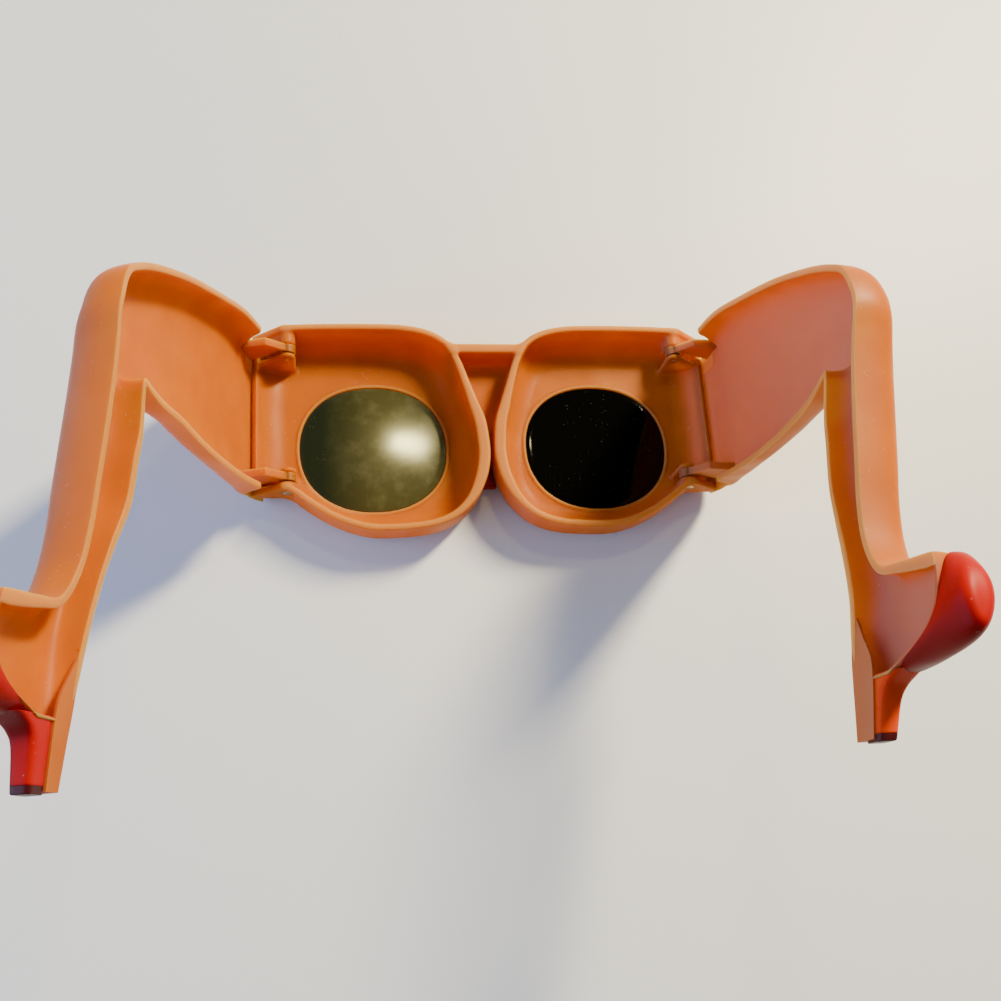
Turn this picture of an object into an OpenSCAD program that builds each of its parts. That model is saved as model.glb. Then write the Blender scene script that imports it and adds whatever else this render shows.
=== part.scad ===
/* [Front] */
// Distance from the middle of the front to the centre of each lens
lens_x = 33.9; // [33:0.1:36]
// Width of each lens
lens_w = 43.2; // [38:0.1:44]
// Height of each lens
lens_h = 39.2; // [34:0.1:41]
// Thickness of each lens
lens_t = 1.6; // [1.2:0.1:2]
// Play all round between a lens and its seat
lens_play = 0.1; // [0.05:0.05:0.2]
// Width of the lip that a lens rests on
lens_lip = 1.2; // [0.8:0.1:2]
// Height of the top edge of the cups above the lens centres
cup_top = 35; // [33.5:0.5:37]
// Depth of the bottom edge of the cups below the lens centres
cup_low = 28.8; // [27:0.3:31]
// Depth of the cups, from the front face to the rim
cup_deep = 14.5; // [13.5:0.5:16.5]
// Wall of the front moulding
front_wall = 2; // [1.7:0.1:2.4]
// Rounding of the cups towards the front face
cup_round = 7; // [6:0.5:8]
// Gap between the two cups where they come closest
nose_gap = 1.2; // [0.8:0.1:2]

/* [Bridge] */
// Height of the web between the cups, above the lens centres
web_top = 29; // [26:0.5:30]
// Height of the thick rib along the top of the web
rib_h = 3; // [2:0.5:4]
// Thickness of the thin web below the rib
web_t = 2; // [1.5:0.1:3]
// Depth of the lower tip of the red bridge panel below the lens centres
panel_low = 13; // [9:0.5:16]
// Thickness of the red bridge panel
panel_t = 2.4; // [1.6:0.1:2.8]

/* [Hinges] */
// Distance from the middle of the front to each hinge axis
hinge_x = 58.8; // [58:0.1:61]
// Radius of the rounded ears and tongues around the hinge axis
ear_r = 2.9; // [2.5:0.1:3.1]
// Thickness of the tongues of the legs
tongue_t = 2.4; // [1.8:0.1:2.8]
// Thickness of the inner ears of the front
ear_t = 2; // [1.6:0.1:2.6]
// Gap between a tongue and an ear
ear_gap = 0.2; // [0.15:0.05:0.3]
// Diameter of the hinge pins
pin_d = 1.8; // [1.4:0.1:2.2]
// Radial play of a pin in the ears
pin_fit = 0.01; // [0.01:0.01:0.03]
// Radial play of a pin in a tongue
tongue_fit = 0.05; // [0.03:0.01:0.08]
// Gap between the curved laps of the front and a leg
lap_gap = 0.4; // [0.3:0.05:0.6]

/* [Legs] */
// Splay of the left leg away from straight back, in degrees
left_splay = 18.4; // [10:0.1:18.4]
// Splay of the right leg away from straight back, in degrees
right_splay = 6.6; // [2:0.1:18]
// Outward lean of the left calf, which has warped, in degrees
left_lean = 7; // [-2:0.5:8]
// Outward lean of the right calf, which has warped, in degrees
right_lean = -7; // [-8:0.5:4]
// Distance from the hinge axis to the front of the knee
thigh_len = 92; // [88:0.5:96]
// Height of the thigh at the hinge
thigh_h = 45.3; // [44:0.1:47]
// Wall of the leg moulding
leg_wall = 1.8; // [1.5:0.1:2.2]
// Length of the calf, from the knee down to the ankle
calf_len = 67; // [63:0.5:71]
// Width of the calf at its fullest
calf_w = 14.5; // [13.5:0.1:16.5]
// Width of the ankle
ankle_w = 11.6; // [10.5:0.1:13]

/* [Shoes] */
// Length of the shoe, from the back of the heel to the toe
shoe_len = 35.5; // [34:0.5:39]
// Height of the shoe at the instep
shoe_h = 21.5; // [20:0.5:24]
// Height of the heel below the sole
heel_h = 11; // [8:0.5:14]
// Length of the heel along the shoe at its tip
heel_len = 5.5; // [4.5:0.5:8]
// Thickness of the dark heel tip
tip_t = 1.6; // [1:0.1:2.5]

/* [Hidden] */
far = 90;

// The hinge axes run along Y, just low enough for the ears to stay below the rim
hinge_z = cup_deep - ear_r - 0.1;
// The leg rims clear the cup rims when a leg is folded flat
rim_s = ear_r + 0.35;
// Radii of the curved laps around the hinge axis, and the outer face of the leg
lap_front = hinge_z - 0.05;
lap_leg = lap_front + lap_gap;
leg_in = lap_leg + 0.2;
leg_out = leg_in + leg_wall;
// The lap of the front ends this far below the horizontal, and a leg stops against its end
lap_end = 25;
open_max = 18.6;
stop_gap = 0.08;
leg_lap = 33;

// Levels of the upper and lower hinges
front_high = cup_top - 0.5;
front_low = -cup_low + 12.6;
tongue_high = front_high - 5.7;
tongue_low = front_low + front_wall + 0.8;
leg_low = tongue_high - thigh_h;

// The pins have small heads, let into the walls of the cups
head_r = pin_d / 2 + 0.5;

// Step in the front face that a lens sits on
lens_seat = front_wall * 0.4;
// The web between the cups stands behind the red panel
panel_z = 1.4;
web_z = panel_z + panel_t;

// Outline of one cup, from the temple over the top, down the nose and along the bottom
n_x = nose_gap / 2;
cup_line = [
    [far, front_high - 0.5], [76, front_high - 0.1], [66, front_high], [56, cup_top], [46, cup_top + 0.3],
    [34, cup_top + 0.4], [24, cup_top], [16.5, cup_top - 1.8], [11.4, cup_top - 5.2],
    [8.2, cup_top - 10.5], [5.6, 17], [3.2, 10], [n_x + 0.8, 4.5], [n_x, -3],
    [n_x + 0.2, -8], [n_x + 1.5, -13.5], [n_x + 4.6, -19.5], [n_x + 10, -cup_low + 4],
    [18, -cup_low + 1], [28, -cup_low], [37, -cup_low + 0.4], [46, -cup_low + 3.6],
    [53, -cup_low + 8], [58.5, front_low - 0.6], [64, front_low],
    [76, front_low + 0.1], [far, front_low + 0.5]];

// A smooth curve through a list of points: k steps on each stretch
function curve_at(P, i, f) =
    let (n = len(P), a = P[max(i - 1, 0)], b = P[i], c = P[min(i + 1, n - 1)], d = P[min(i + 2, n - 1)])
    0.5 * (2 * b + (c - a) * f + (2 * a - 5 * b + 4 * c - d) * f * f + (3 * b - a - 3 * c + d) * f * f * f);
function curve(P, k) = concat(
    [for (i = [0 : len(P) - 2]) for (j = [0 : k - 1]) curve_at(P, i, j / k)],
    [P[len(P) - 1]]);

// The same line moved inwards, each point along its own normal
function unit(v) = v / norm(v);
function inset(L, d) = [for (i = [0 : len(L) - 1])
    let (a = L[max(i - 1, 0)], b = L[min(i + 1, len(L) - 1)], v = unit(b - a))
    L[i] + [-v[1], v[0]] * d];

// Skin through closed rings of points, each ring with the same count. The ends are closed flat,
// or in strips from side to side where the rings are bowed
module loft(rings, strips = false) {
    n = len(rings[0]);
    m = len(rings);
    strip = concat([[0, 1, n - 1]],
        [for (i = [1 : n / 2 - 2]) for (f = [[i, i + 1, n - i - 1], [i, n - i - 1, n - i]]) f],
        [[n / 2 - 1, n / 2, n / 2 + 1]]);
    end = strips ? strip : [[for (i = [0 : n - 1]) i]];
    polyhedron(
        points = [for (r = rings) for (p = r) p],
        faces = concat(
            [for (f = end) [for (i = [len(f) - 1 : -1 : 0]) f[i]]],
            [for (k = [0 : m - 2]) for (i = [0 : n - 1])
                for (f = [[k * n + i, k * n + (i + 1) % n, (k + 1) * n + (i + 1) % n],
                    [k * n + i, (k + 1) * n + (i + 1) % n, (k + 1) * n + i]]) f],
            [for (f = end) [for (i = f) (m - 1) * n + i]]),
        convexity = 8);
}

// Skin through half-relief rings: an outer run of points and an inner run back
module shell_loft(rings) {
    n = len(rings[0]);
    h = n / 2;
    m = len(rings);
    cap = [for (i = [0 : h - 2]) [i, i + 1, n - 2 - i, n - 1 - i]];
    polyhedron(
        points = [for (r = rings) for (p = r) p],
        faces = concat(
            [for (q = cap) for (f = [[q[2], q[1], q[0]], [q[3], q[2], q[0]]]) f],
            [for (k = [0 : m - 2]) for (i = [0 : n - 1])
                for (f = [[k * n + i, k * n + (i + 1) % n, (k + 1) * n + (i + 1) % n],
                    [k * n + i, (k + 1) * n + (i + 1) % n, (k + 1) * n + i]]) f],
            [for (q = cap) for (f = [[q[0], q[1], q[2]], [q[0], q[2], q[3]]])
                [for (v = f) v + (m - 1) * n]]),
        convexity = 8);
}

// A flat shape drawn in X and Z, as a slab between two heights
module slab(low, high) {
    translate([0, high, 0]) rotate([90, 0, 0]) linear_extrude(high - low) children();
}

module rod(r, low, high) {
    translate([0, high, 0]) rotate([90, 0, 0]) cylinder(r = r, h = high - low, $fn = 48);
}

// Lens outline: an oval with fuller corners
function oval(w, h, k = 2.5, n = 96) = [for (i = [0 : n - 1])
    let (a = 360 * i / n, c = cos(a), s = sin(a))
    [w / 2 * sign(c) * pow(abs(c), 2 / k), h / 2 * sign(s) * pow(abs(s), 2 / k)]];

/* Front */

// Everything that may be solid at one temple end, out to a curved lap of the given radius
module temple_zone(r, low_z, inside = 0) {
    n = 90 - lap_end - asin(ear_r / lap_front);
    d = ear_r - inside;
    translate([-1, -far, low_z]) cube([hinge_x + 1, 2 * far, cup_deep + 5]);
    intersection() {
        translate([hinge_x, 0, hinge_z]) rod(r, -far, far);
        translate([hinge_x - 0.01, 0, hinge_z]) slab(-far, far)
            polygon([[0, low_z - hinge_z], [(d + (hinge_z - low_z) * sin(n)) / cos(n), low_z - hinge_z], [0, d / sin(n)]]);
    }
}

module cup_dome() {
    line = curve(cup_line, 2);
    steps = [for (a = [90 : -18 : 0]) [cup_round * (1 - sin(a)), cup_round * (1 - cos(a))]];
    loft([for (s = concat([[0, cup_deep + 1]], steps)) [for (p = inset(line, s[0])) [p[0], p[1], s[1]]]]);
}

// The nose wall of a cup is thicker than the rest
function nose_extra(p) = let (d = norm([p[0] / 1.2, (p[1] + 3) / 2.6])) 1.6 / (1 + pow(d / 7, 4));
module cup_bowl() {
    line = curve(cup_line, 2);
    thick = [for (i = [0 : len(line) - 1]) front_wall + nose_extra(line[i])];
    steps = [for (a = [90 : -18 : 0]) [(cup_round + 1) * (1 - sin(a)), (cup_round + 1) * (1 - cos(a))]];
    loft([for (s = concat([[0, cup_deep]], steps))
        let (rows = [for (i = [0 : len(line) - 1]) inset(line, s[0] + thick[i])[i]])
        [for (p = rows) [p[0], p[1], s[1] + front_wall]]]);
}

// One ear around the hinge axis, between two heights, standing on the given level
module ear(low, high, foot) {
    translate([hinge_x, 0, hinge_z]) rod(ear_r, low, high);
    translate([hinge_x - ear_r + 0.1, low, foot]) cube([ear_r, high - low, hinge_z - foot]);
    intersection() {
        temple_zone(lap_front - 0.3, foot, 0.2);
        translate([hinge_x - 0.5, low, 0]) cube([20, high - low, hinge_z + 0.5 * ear_r]);
    }
}
// Outer ears are blocks below the rim, inner ears stand on the front face
module ears() {
    wall_in = 0.6;
    ear(tongue_high + ear_gap, front_high - wall_in, cup_round);
    ear(front_low + wall_in, tongue_low - ear_gap, cup_round);
    ear(tongue_high - tongue_t - ear_gap - ear_t, tongue_high - tongue_t - ear_gap, 1);
    ear(tongue_low + tongue_t + ear_gap, tongue_low + tongue_t + ear_gap + ear_t, 1);
}

module cup_side() {
    difference() {
        union() {
            difference() {
                intersection() {
                    cup_dome();
                    temple_zone(lap_front, -2, -0.15);
                    translate([-2, -far, -3]) cube([far, 2 * far, cup_deep + 3]);
                }
                intersection() {
                    cup_bowl();
                    temple_zone(lap_front - front_wall, -2, -2);
                }
            }
            ears();
        }
        translate([hinge_x, 0, hinge_z]) {
            rod(pin_d / 2 + pin_fit, -far, far);
            rod(head_r + 0.1, front_high, far);
            rod(head_r + 0.1, -far, front_low);
        }
        translate([lens_x, 0, lens_seat]) linear_extrude(4)
            polygon(oval(lens_w + 2 * lens_play, lens_h + 2 * lens_play));
        translate([lens_x, 0, -1]) linear_extrude(lens_seat + 2)
            polygon(oval(lens_w - 2 * lens_lip, lens_h - 2 * lens_lip));
    }
}
function nose_x(y) = lookup(y, [[-19.5, n_x + 4.6], [-13.5, n_x + 1.5], [-8, n_x + 0.2], [-3, n_x],
    [4.5, n_x + 0.8], [10, 3.2], [17, 5.6], [cup_top - 10.5, 8.2], [cup_top - 5.2, 11.4]]);
module web() {
    ys = [web_top, 22, 17, 10, 4.5, 0, -3];
    translate([0, 0, web_z]) linear_extrude(web_t)
        polygon(concat([for (y = ys) [nose_x(y) + 1.4, y]], [for (i = [len(ys) - 1 : -1 : 0]) [-nose_x(ys[i]) - 1.4, ys[i]]]));
    translate([0, web_top - rib_h, web_z]) linear_extrude(cup_deep - web_z)
        polygon([[-nose_x(web_top - rib_h) - 1.6, 0], [nose_x(web_top - rib_h) + 1.6, 0],
            [nose_x(web_top) + 1.6, rib_h], [-nose_x(web_top) - 1.6, rib_h]]);
}

module front_frame() {
    color("#e87a12") {
        cup_side();
        mirror([1, 0, 0]) cup_side();
        web();
    }
}

module bridge_panel() {
    ys = [web_top - 5, 17, 10, 4.5, 0, -3, -8, -panel_low];
    side_gap = 0.15;
    color("#b01010") translate([0, 0, panel_z]) linear_extrude(panel_t - 0.02)
        polygon(concat([for (y = ys) [nose_x(y) + side_gap, y]],
            [for (i = [len(ys) - 1 : -1 : 0]) [-nose_x(ys[i]) - side_gap, ys[i]]]));
}

module lens() {
    translate([lens_x, 0, lens_seat]) linear_extrude(lens_t) polygon(oval(lens_w, lens_h));
}
module lens_left() {
    color("#4a4e30") mirror([1, 0, 0]) lens();
}
module lens_right() {
    color("#30331f") lens();
}

/* Hinge pins */

module pin(low, high) {
    translate([hinge_x, 0, hinge_z]) {
        rod(pin_d / 2, low - 0.3, high + 0.05);
        rod(head_r, high + 0.02, high + 0.5);
    }
}
module upper_pin() {
    pin(tongue_high - tongue_t - ear_gap - ear_t, front_high);
}
module lower_pin() {
    translate([0, tongue_low + tongue_t + ear_gap + ear_t + front_low, 0]) mirror([0, 1, 0])
        pin(front_low, tongue_low + tongue_t + ear_gap + ear_t);
}
module hinge_pin_left_upper() {
    color("#c8b070") mirror([1, 0, 0]) upper_pin();
}
module hinge_pin_left_lower() {
    color("#c8b070") mirror([1, 0, 0]) lower_pin();
}
module hinge_pin_right_upper() {
    color("#c8b070") upper_pin();
}
module hinge_pin_right_lower() {
    color("#c8b070") lower_pin();
}

/* Legs: X points outward, Z runs back along the thigh, Y is up */

L = thigh_len;
toe_y = -1 - calf_len;
// The edge where the red shoe begins bows this far towards the toe
bow = 8.4;
// Per station: upper or shin edge (back, up), lower or calf edge (back, up), hollow depth, squareness,
// outer depth, bow of the ring towards the toe
stations = [
    [0, tongue_high, 0, leg_low, 1, 9, 1, 0],
    [6, tongue_high + 0.8, 6, leg_low - 1.2, 1, 8, 1, 0],
    [13, tongue_high + 1.6, 13, leg_low - 2.2, 1, 5, 1, 0],
    [24, tongue_high + 1.3, 24, leg_low - 3.4, 1, 3.4, 1.02, 0],
    [38, tongue_high - 1.7, 38, leg_low - 3.8, 1, 2.8, 1.04, 0],
    [L - 40, tongue_high - 5.2, L - 42, leg_low - 3.2, 1, 2.7, 1.05, 0],
    [L - 30, tongue_high - 8.2, L - 32, leg_low - 1.9, 1, 2.7, 1.06, 0],
    [L - 18, tongue_high - 12.6, L - 24, leg_low - 0.8, 1, 3, 1.08, 0],
    [L - 9, tongue_high - 16.8, L - 19, leg_low + 0.8, 1, 3.2, 1.1, 0],
    [L - 3.2, tongue_high - 21.2, L - 16.4, leg_low + 1.8, 0.98, 3.4, 1.12, 0],
    [L - 0.6, -1, L - 16.3, leg_low - 0.2, 0.85, 3.6, 1.14, 0],
    [L - 1.5, -9, L - 17, leg_low - 4.6, 0.85, 3.6, 1.17, 0],
    [L - 2.4, -17, L - 17.6, leg_low - 10, 0.85, 3.6, 1.2, 0],
    [L - 2.8, -28, L - 2.8 - calf_w, -32, 0.85, 3.6, 1.2, 0],
    [L - 2.9, -40, L - 2.4 - calf_w, -42, 0.85, 3.6, 1.18, 0],
    [L - 2.9, -calf_len + 17, L - 2.6 - ankle_w, -calf_len + 16, 0.84, 3.6, 1.12, 0],
    [L - 1.6, -calf_len + 8, L - ankle_w, -calf_len + 7, 0.8, 3.6, 1.08, 0],
    [L + 2.6, toe_y + 2.2, L + 2 - ankle_w, toe_y - 2.5, 0.78, 3.6, 1.04, 0.12 * bow],
    [L + 9.4, toe_y + 0.9, L - 8.4, toe_y - 11.5, 0.76, 3.2, 1, 0.45 * bow],
    [L + 18, toe_y + 0.2, L - 7.2, toe_y - shoe_h + 1.2, 0.72, 2.8, 1, bow]];

function ramp(f) = let (g = min(max(f, 0), 1)) g * g * (3 - 2 * g);
// Sideways shift of the calf: it grows from the knee down
function lean_shift(t, y, lean) = -min(y, 0) * tan(lean) * ramp((t - L + 34) / 22);

// One half-relief ring: the outer run goes over the back, the inner run returns in the hollow
ring_n = 14;
function relief(c, k) = sign(c) * pow(abs(c), 2 / k);
// Point on the line from B to A, f from -1 to 1, bowed out sideways, most of all near A
function bowed(A, B, f, by) = (A + B) / 2 + (A - B) / 2 * f
    + unit([A[1] - B[1], B[0] - A[0]]) * by * (1 - f * f) * (1 + 0.5 * f);
function run(A, B, half, depth, k, lean, fan, by) = [for (i = [0 : ring_n])
    let (u = 180 * i / ring_n, f = relief(cos(u), k) * half / (norm(A - B) / 2),
        p = bowed(A, B, f, by),
        s = rim_s + depth * relief(sin(u), k))
    fan == 0 ? [s + lean_shift(p[0], p[1], lean), p[1], p[0]] : [s * cos(fan), p[1], -s * sin(fan)]];
function leg_ring(q, lean, fan = 0) =
    let (A = [q[0], q[1]], B = [q[2], q[3]], half = norm(A - B) / 2,
        outer = run(A, B, half, (leg_out - rim_s) * q[6], q[5], lean, fan, q[7]),
        hollow = run(A, B, half - leg_wall, (leg_in - rim_s) * q[4], q[5], lean, fan, q[7]))
    concat(outer, [for (i = [ring_n : -1 : 0]) hollow[i]]);

// The heel of a tongue meets the end of the curved lap when a leg is opened too far
module tongue(low, high) {
    n = 90 - lap_end - asin(ear_r / lap_front) + open_max;
    d = ear_r + 0.15 + stop_gap;
    k = sqrt(pow(leg_in + 0.4, 2) - d * d);
    slab_points = [[0, 0], [d * cos(n), d * sin(n)], [d * cos(n) + k * sin(n), d * sin(n) - k * cos(n)],
        [leg_in + 0.5, 4], [leg_in + 0.5, 9], [rim_s + 0.1, 9], [-ear_r, 0.01]];
    difference() {
        union() {
            rod(ear_r, low, high);
            slab(low, high) polygon(slab_points);
        }
        rod(pin_d / 2 + tongue_fit, low - 1, high + 1);
    }
}

module leg(lean) {
    lap = [for (a = [leg_lap : -leg_lap / 4 : 1]) leg_ring(stations[0], lean, a)];
    path = curve(stations, 2);
    difference() {
        shell_loft(concat(lap, [for (q = path) leg_ring(q, lean)]));
        rod(lap_leg, -far, far);
        rod(ear_r + 0.4, -far, far);
    }
    tongue(tongue_high - tongue_t, tongue_high);
    tongue(tongue_low, tongue_low + tongue_t);
    heel_strip(lean);
}

// Brings something drawn at the leg to its place on the right side of the glasses
module right_side(splay) {
    translate([hinge_x, 0, hinge_z]) rotate([0, splay, 0]) children();
}
module leg_left() {
    color("#e87a12") mirror([1, 0, 0]) right_side(left_splay) leg(left_lean);
}
module leg_right() {
    color("#e87a12") right_side(right_splay) leg(right_lean);
}

/* Shoes */

sole_y = toe_y - shoe_h;
heel_t = L - 7.4;
toe_t = heel_t + shoe_len;
// Per station: instep edge (back, up), sole edge (back, up), half depth, bow towards the toe
toe_line = [
    [L + 18.1, toe_y + 0.1, heel_t + 0.8, sole_y + 1.1, 1, bow],
    [L + 21, toe_y - 0.6, heel_t + 8, sole_y + 0.3, 1.01, 0.8 * bow],
    [L + 24, toe_y - 2.8, heel_t + 16, sole_y + 0.4, 1.01, 0.55 * bow],
    [toe_t - 3.4, toe_y - 5.8, heel_t + 22.5, sole_y + 0.8, 1, 0.3 * bow],
    [toe_t - 1.4, toe_y - 8.8, toe_t - 8, sole_y + 1.6, 0.88, 0.12 * bow],
    [toe_t - 0.3, toe_y - 11.6, toe_t - 4, sole_y + 3.4, 0.62, 0.04 * bow],
    [toe_t, toe_y - 13.6, toe_t - 1.6, sole_y + 5.4, 0.25, 0]];
mid_s = (rim_s + leg_out) / 2;
half_s = (leg_out - rim_s) / 2;
toe_n = 28;
function toe_ring(q, lean) = [for (i = [0 : toe_n - 1])
    let (u = 360 * i / toe_n, p = bowed([q[0], q[1]], [q[2], q[3]], relief(cos(u), 2.8), q[5]))
    [mid_s + half_s * q[4] * relief(sin(u), 2.8) + lean_shift(p[0], p[1], lean), p[1], p[0]]];

// Heel cross-section at a height, as a ring of points; the heel stands on the inner side of the shoe
function heel_ring(y, back, len, wide, lean) = [for (p = oval(len, wide, 5, 32))
    [rim_s + 0.4 + wide / 2 + p[1] + lean_shift(L, y, lean), y, back + len / 2 + p[0]]];
tip_w = heel_len - 0.9;
// An orange strip of the leg runs down the back of the heel
strip_t = heel_t + 1;
strip_w = 4.4;
module heel_strip(lean) {
    function ring(y, back, w) = let (x = lean_shift(L, y, lean))
        [[rim_s + x, y, back], [rim_s + w + x, y, back], [rim_s + w + x, y, strip_t], [rim_s + x, y, strip_t]];
    loft([ring(sole_y - heel_h + 0.6, strip_t - 0.8, strip_w - 1), ring(sole_y, strip_t - 1.4, strip_w),
        ring(sole_y + 6, strip_t - 1.6, strip_w)]);
}

module shoe(lean) {
    low = sole_y - heel_h + tip_t;
    back = strip_t + 0.1;
    loft([for (q = curve(toe_line, 2)) toe_ring(q, lean)], true);
    loft([heel_ring(sole_y + 0.9, back, heel_len + 3.4, tip_w + 2.4, lean),
        heel_ring(sole_y - 0.3 * heel_h, back, heel_len + 1, tip_w + 1, lean),
        heel_ring(low, back, heel_len, tip_w, lean)]);
}
module shoe_left() {
    color("#c81810") mirror([1, 0, 0]) right_side(left_splay) shoe(left_lean);
}
module shoe_right() {
    color("#c81810") right_side(right_splay) shoe(right_lean);
}

module heel_tip(lean) {
    high = sole_y - heel_h + tip_t - 0.02;
    loft([heel_ring(high, strip_t + 0.1, heel_len, tip_w, lean),
        heel_ring(high - tip_t, strip_t + 0.1, heel_len - 0.1, tip_w - 0.2, lean)]);
}
module heel_tip_left() {
    color("#601010") mirror([1, 0, 0]) right_side(left_splay) heel_tip(left_lean);
}
module heel_tip_right() {
    color("#601010") right_side(right_splay) heel_tip(right_lean);
}

front_frame();
bridge_panel();
lens_left();
lens_right();
hinge_pin_left_upper();
hinge_pin_left_lower();
hinge_pin_right_upper();
hinge_pin_right_lower();
leg_left();
leg_right();
shoe_left();
shoe_right();
heel_tip_left();
heel_tip_right();
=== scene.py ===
"""Looks of novelty sunglasses: two cups with tinted lenses, and a pair of high-heeled legs as temples."""

import logging
import math
from dataclasses import dataclass
from enum import Enum
from typing import Callable

import bpy
import numpy as np
from mathutils import Matrix, Vector

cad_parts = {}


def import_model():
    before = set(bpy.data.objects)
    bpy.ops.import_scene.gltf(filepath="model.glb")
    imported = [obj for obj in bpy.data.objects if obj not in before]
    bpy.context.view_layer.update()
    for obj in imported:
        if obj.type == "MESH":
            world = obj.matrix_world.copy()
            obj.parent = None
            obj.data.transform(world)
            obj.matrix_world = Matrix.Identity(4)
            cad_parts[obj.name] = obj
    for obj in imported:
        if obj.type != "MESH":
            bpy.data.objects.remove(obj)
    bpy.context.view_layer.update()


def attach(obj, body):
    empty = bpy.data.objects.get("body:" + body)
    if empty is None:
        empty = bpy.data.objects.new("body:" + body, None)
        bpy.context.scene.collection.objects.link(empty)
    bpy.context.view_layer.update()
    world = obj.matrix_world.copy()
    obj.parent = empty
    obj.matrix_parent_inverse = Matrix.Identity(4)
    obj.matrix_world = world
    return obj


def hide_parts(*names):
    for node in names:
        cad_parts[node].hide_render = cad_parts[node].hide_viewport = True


log = logging.getLogger("sunglasses")
MM = 0.001
Array = np.ndarray
Pair = tuple[float, float]
Triple = tuple[float, float, float]


class Side(Enum):
    """Which side of the glasses a piece is on, as the sign of X."""

    LEFT = -1
    RIGHT = 1

    @property
    def word(self) -> str:
        """The word that piece and body names use."""
        return self.name.lower()


class Slot(Enum):
    """Material slots of the record."""

    ORANGE = "orange_plastic"
    RED = "red_plastic"
    DARK_RED = "dark_red_plastic"
    LENS = "tinted_lens"
    PIN = "brass_pin"


# Curves and grids


def smooth_rows(rows: Array, steps: int) -> Array:
    """Carries every column of a table along one smooth curve through its rows (Catmull-Rom).

    Args:
        rows: table of stations, one row each.
        steps: points on each stretch between two rows.

    Returns:
        The finer table, last row included.
    """
    last = len(rows) - 1
    i = np.repeat(np.arange(last), steps)
    f = np.tile(np.arange(steps) / steps, last)[:, None]
    a, b = rows[np.maximum(i - 1, 0)], rows[i]
    c, d = rows[i + 1], rows[np.minimum(i + 2, last)]
    fine = 0.5 * (2 * b + (c - a) * f + (2 * a - 5 * b + 4 * c - d) * f**2 + (3 * b - a - 3 * c + d) * f**3)
    return np.vstack([fine, rows[-1:]])


def ease(f: Array) -> Array:
    """Smooth step from 0 to 1: 3 f squared less 2 f cubed."""
    f = np.clip(f, 0, 1)
    return f * f * (3 - 2 * f)


def superellipse(angle: Array, power: Array) -> tuple[Array, Array]:
    """Unit superellipse by its polar angle: radius is (|cos|^p + |sin|^p)^(-1/p).

    Args:
        angle: polar angles.
        power: 2 for a circle, more for squarer corners.

    Returns:
        The two coordinates.
    """
    c, s = np.cos(angle), np.sin(angle)
    r = (np.abs(c) ** power + np.abs(s) ** power) ** (-1 / power)
    return r * c, r * s


def round_angles(count: int) -> Array:
    """Angles of points that stand evenly round a circle."""
    return np.arange(count) * 2 * math.pi / count


def columns(rows: Array) -> list[Array]:
    """Columns of a table, each as a table of one column."""
    return [rows[:, i : i + 1] for i in range(rows.shape[1])]


def grid_quads(rows: int, cols: int) -> Array:
    """Quads of a grid whose columns close into rings.

    Args:
        rows: number of rings.
        cols: points on a ring.

    Returns:
        Indices of the quads, one row each.
    """
    i, j = np.meshgrid(np.arange(rows - 1), np.arange(cols), indexing="ij")
    k = (j + 1) % cols
    return np.stack([i * cols + j, i * cols + k, (i + 1) * cols + k, (i + 1) * cols + j], -1).reshape(-1, 4)


def fan(ring: Array) -> Array:
    """Closes a ring of indices in its last one, as triangles."""
    n = len(ring) - 1
    j = np.arange(n)
    return np.stack([ring[j], ring[(j + 1) % n], np.full(n, ring[-1])], -1)


def ladder(count: int) -> Array:
    """Quads across a ring of that many points, whose second half runs back along its first half."""
    j = np.arange(count // 2 - 1)
    return np.stack([j, j + 1, count - 2 - j, count - 1 - j], -1)


def volume_under(points: Array, faces: list[Array]) -> float:
    """Volume inside closed faces, from the pyramids that their triangles make with the origin: negative if
    the faces look inwards.

    Args:
        points: points of the mesh.
        faces: arrays of faces, each with its own number of corners.

    Returns:
        The signed volume.
    """
    total = 0.0
    for f in faces:
        for k in range(1, f.shape[1] - 1):
            a, b, c = points[f[:, 0]], points[f[:, k]], points[f[:, k + 1]]
            total += float((a * np.cross(b, c)).sum()) / 6
    return total


def make_mesh(name: str, points: Array, faces: list[Array], sharp: float = 35) -> bpy.types.Object:
    """Puts whole arrays of points and faces into a new object at the origin.

    Args:
        name: the piece's name.
        points: points in metres.
        faces: arrays of faces, each with its own number of corners.
        sharp: edges bent by more than this many degrees are shaded sharp.

    Returns:
        The new object.
    """
    if volume_under(points, faces) < 0:
        faces = [f[:, ::-1] for f in faces]
    mesh = bpy.data.meshes.new(name)
    loops = np.concatenate([f.ravel() for f in faces]).astype(np.int32)
    sizes = np.concatenate([np.full(len(f), f.shape[1]) for f in faces]).astype(np.int32)
    mesh.vertices.add(len(points))
    mesh.vertices.foreach_set("co", np.ascontiguousarray(points, np.float32).ravel())
    mesh.loops.add(len(loops))
    mesh.loops.foreach_set("vertex_index", loops)
    mesh.polygons.add(len(sizes))
    mesh.polygons.foreach_set("loop_start", np.concatenate([[0], np.cumsum(sizes)[:-1]]).astype(np.int32))
    mesh.update(calc_edges=True)
    mesh.validate()
    mesh.shade_smooth()
    mesh.set_sharp_from_angle(angle=math.radians(sharp))
    obj = bpy.data.objects.new(name, mesh)
    bpy.context.scene.collection.objects.link(obj)
    return obj


def set_mask(obj: bpy.types.Object, name: str, values: Array) -> None:
    """Stores one number per point, which the materials read as an attribute."""
    obj.data.attributes.new(name, "FLOAT", "POINT").data.foreach_set("value", values.astype(np.float32))


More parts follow.
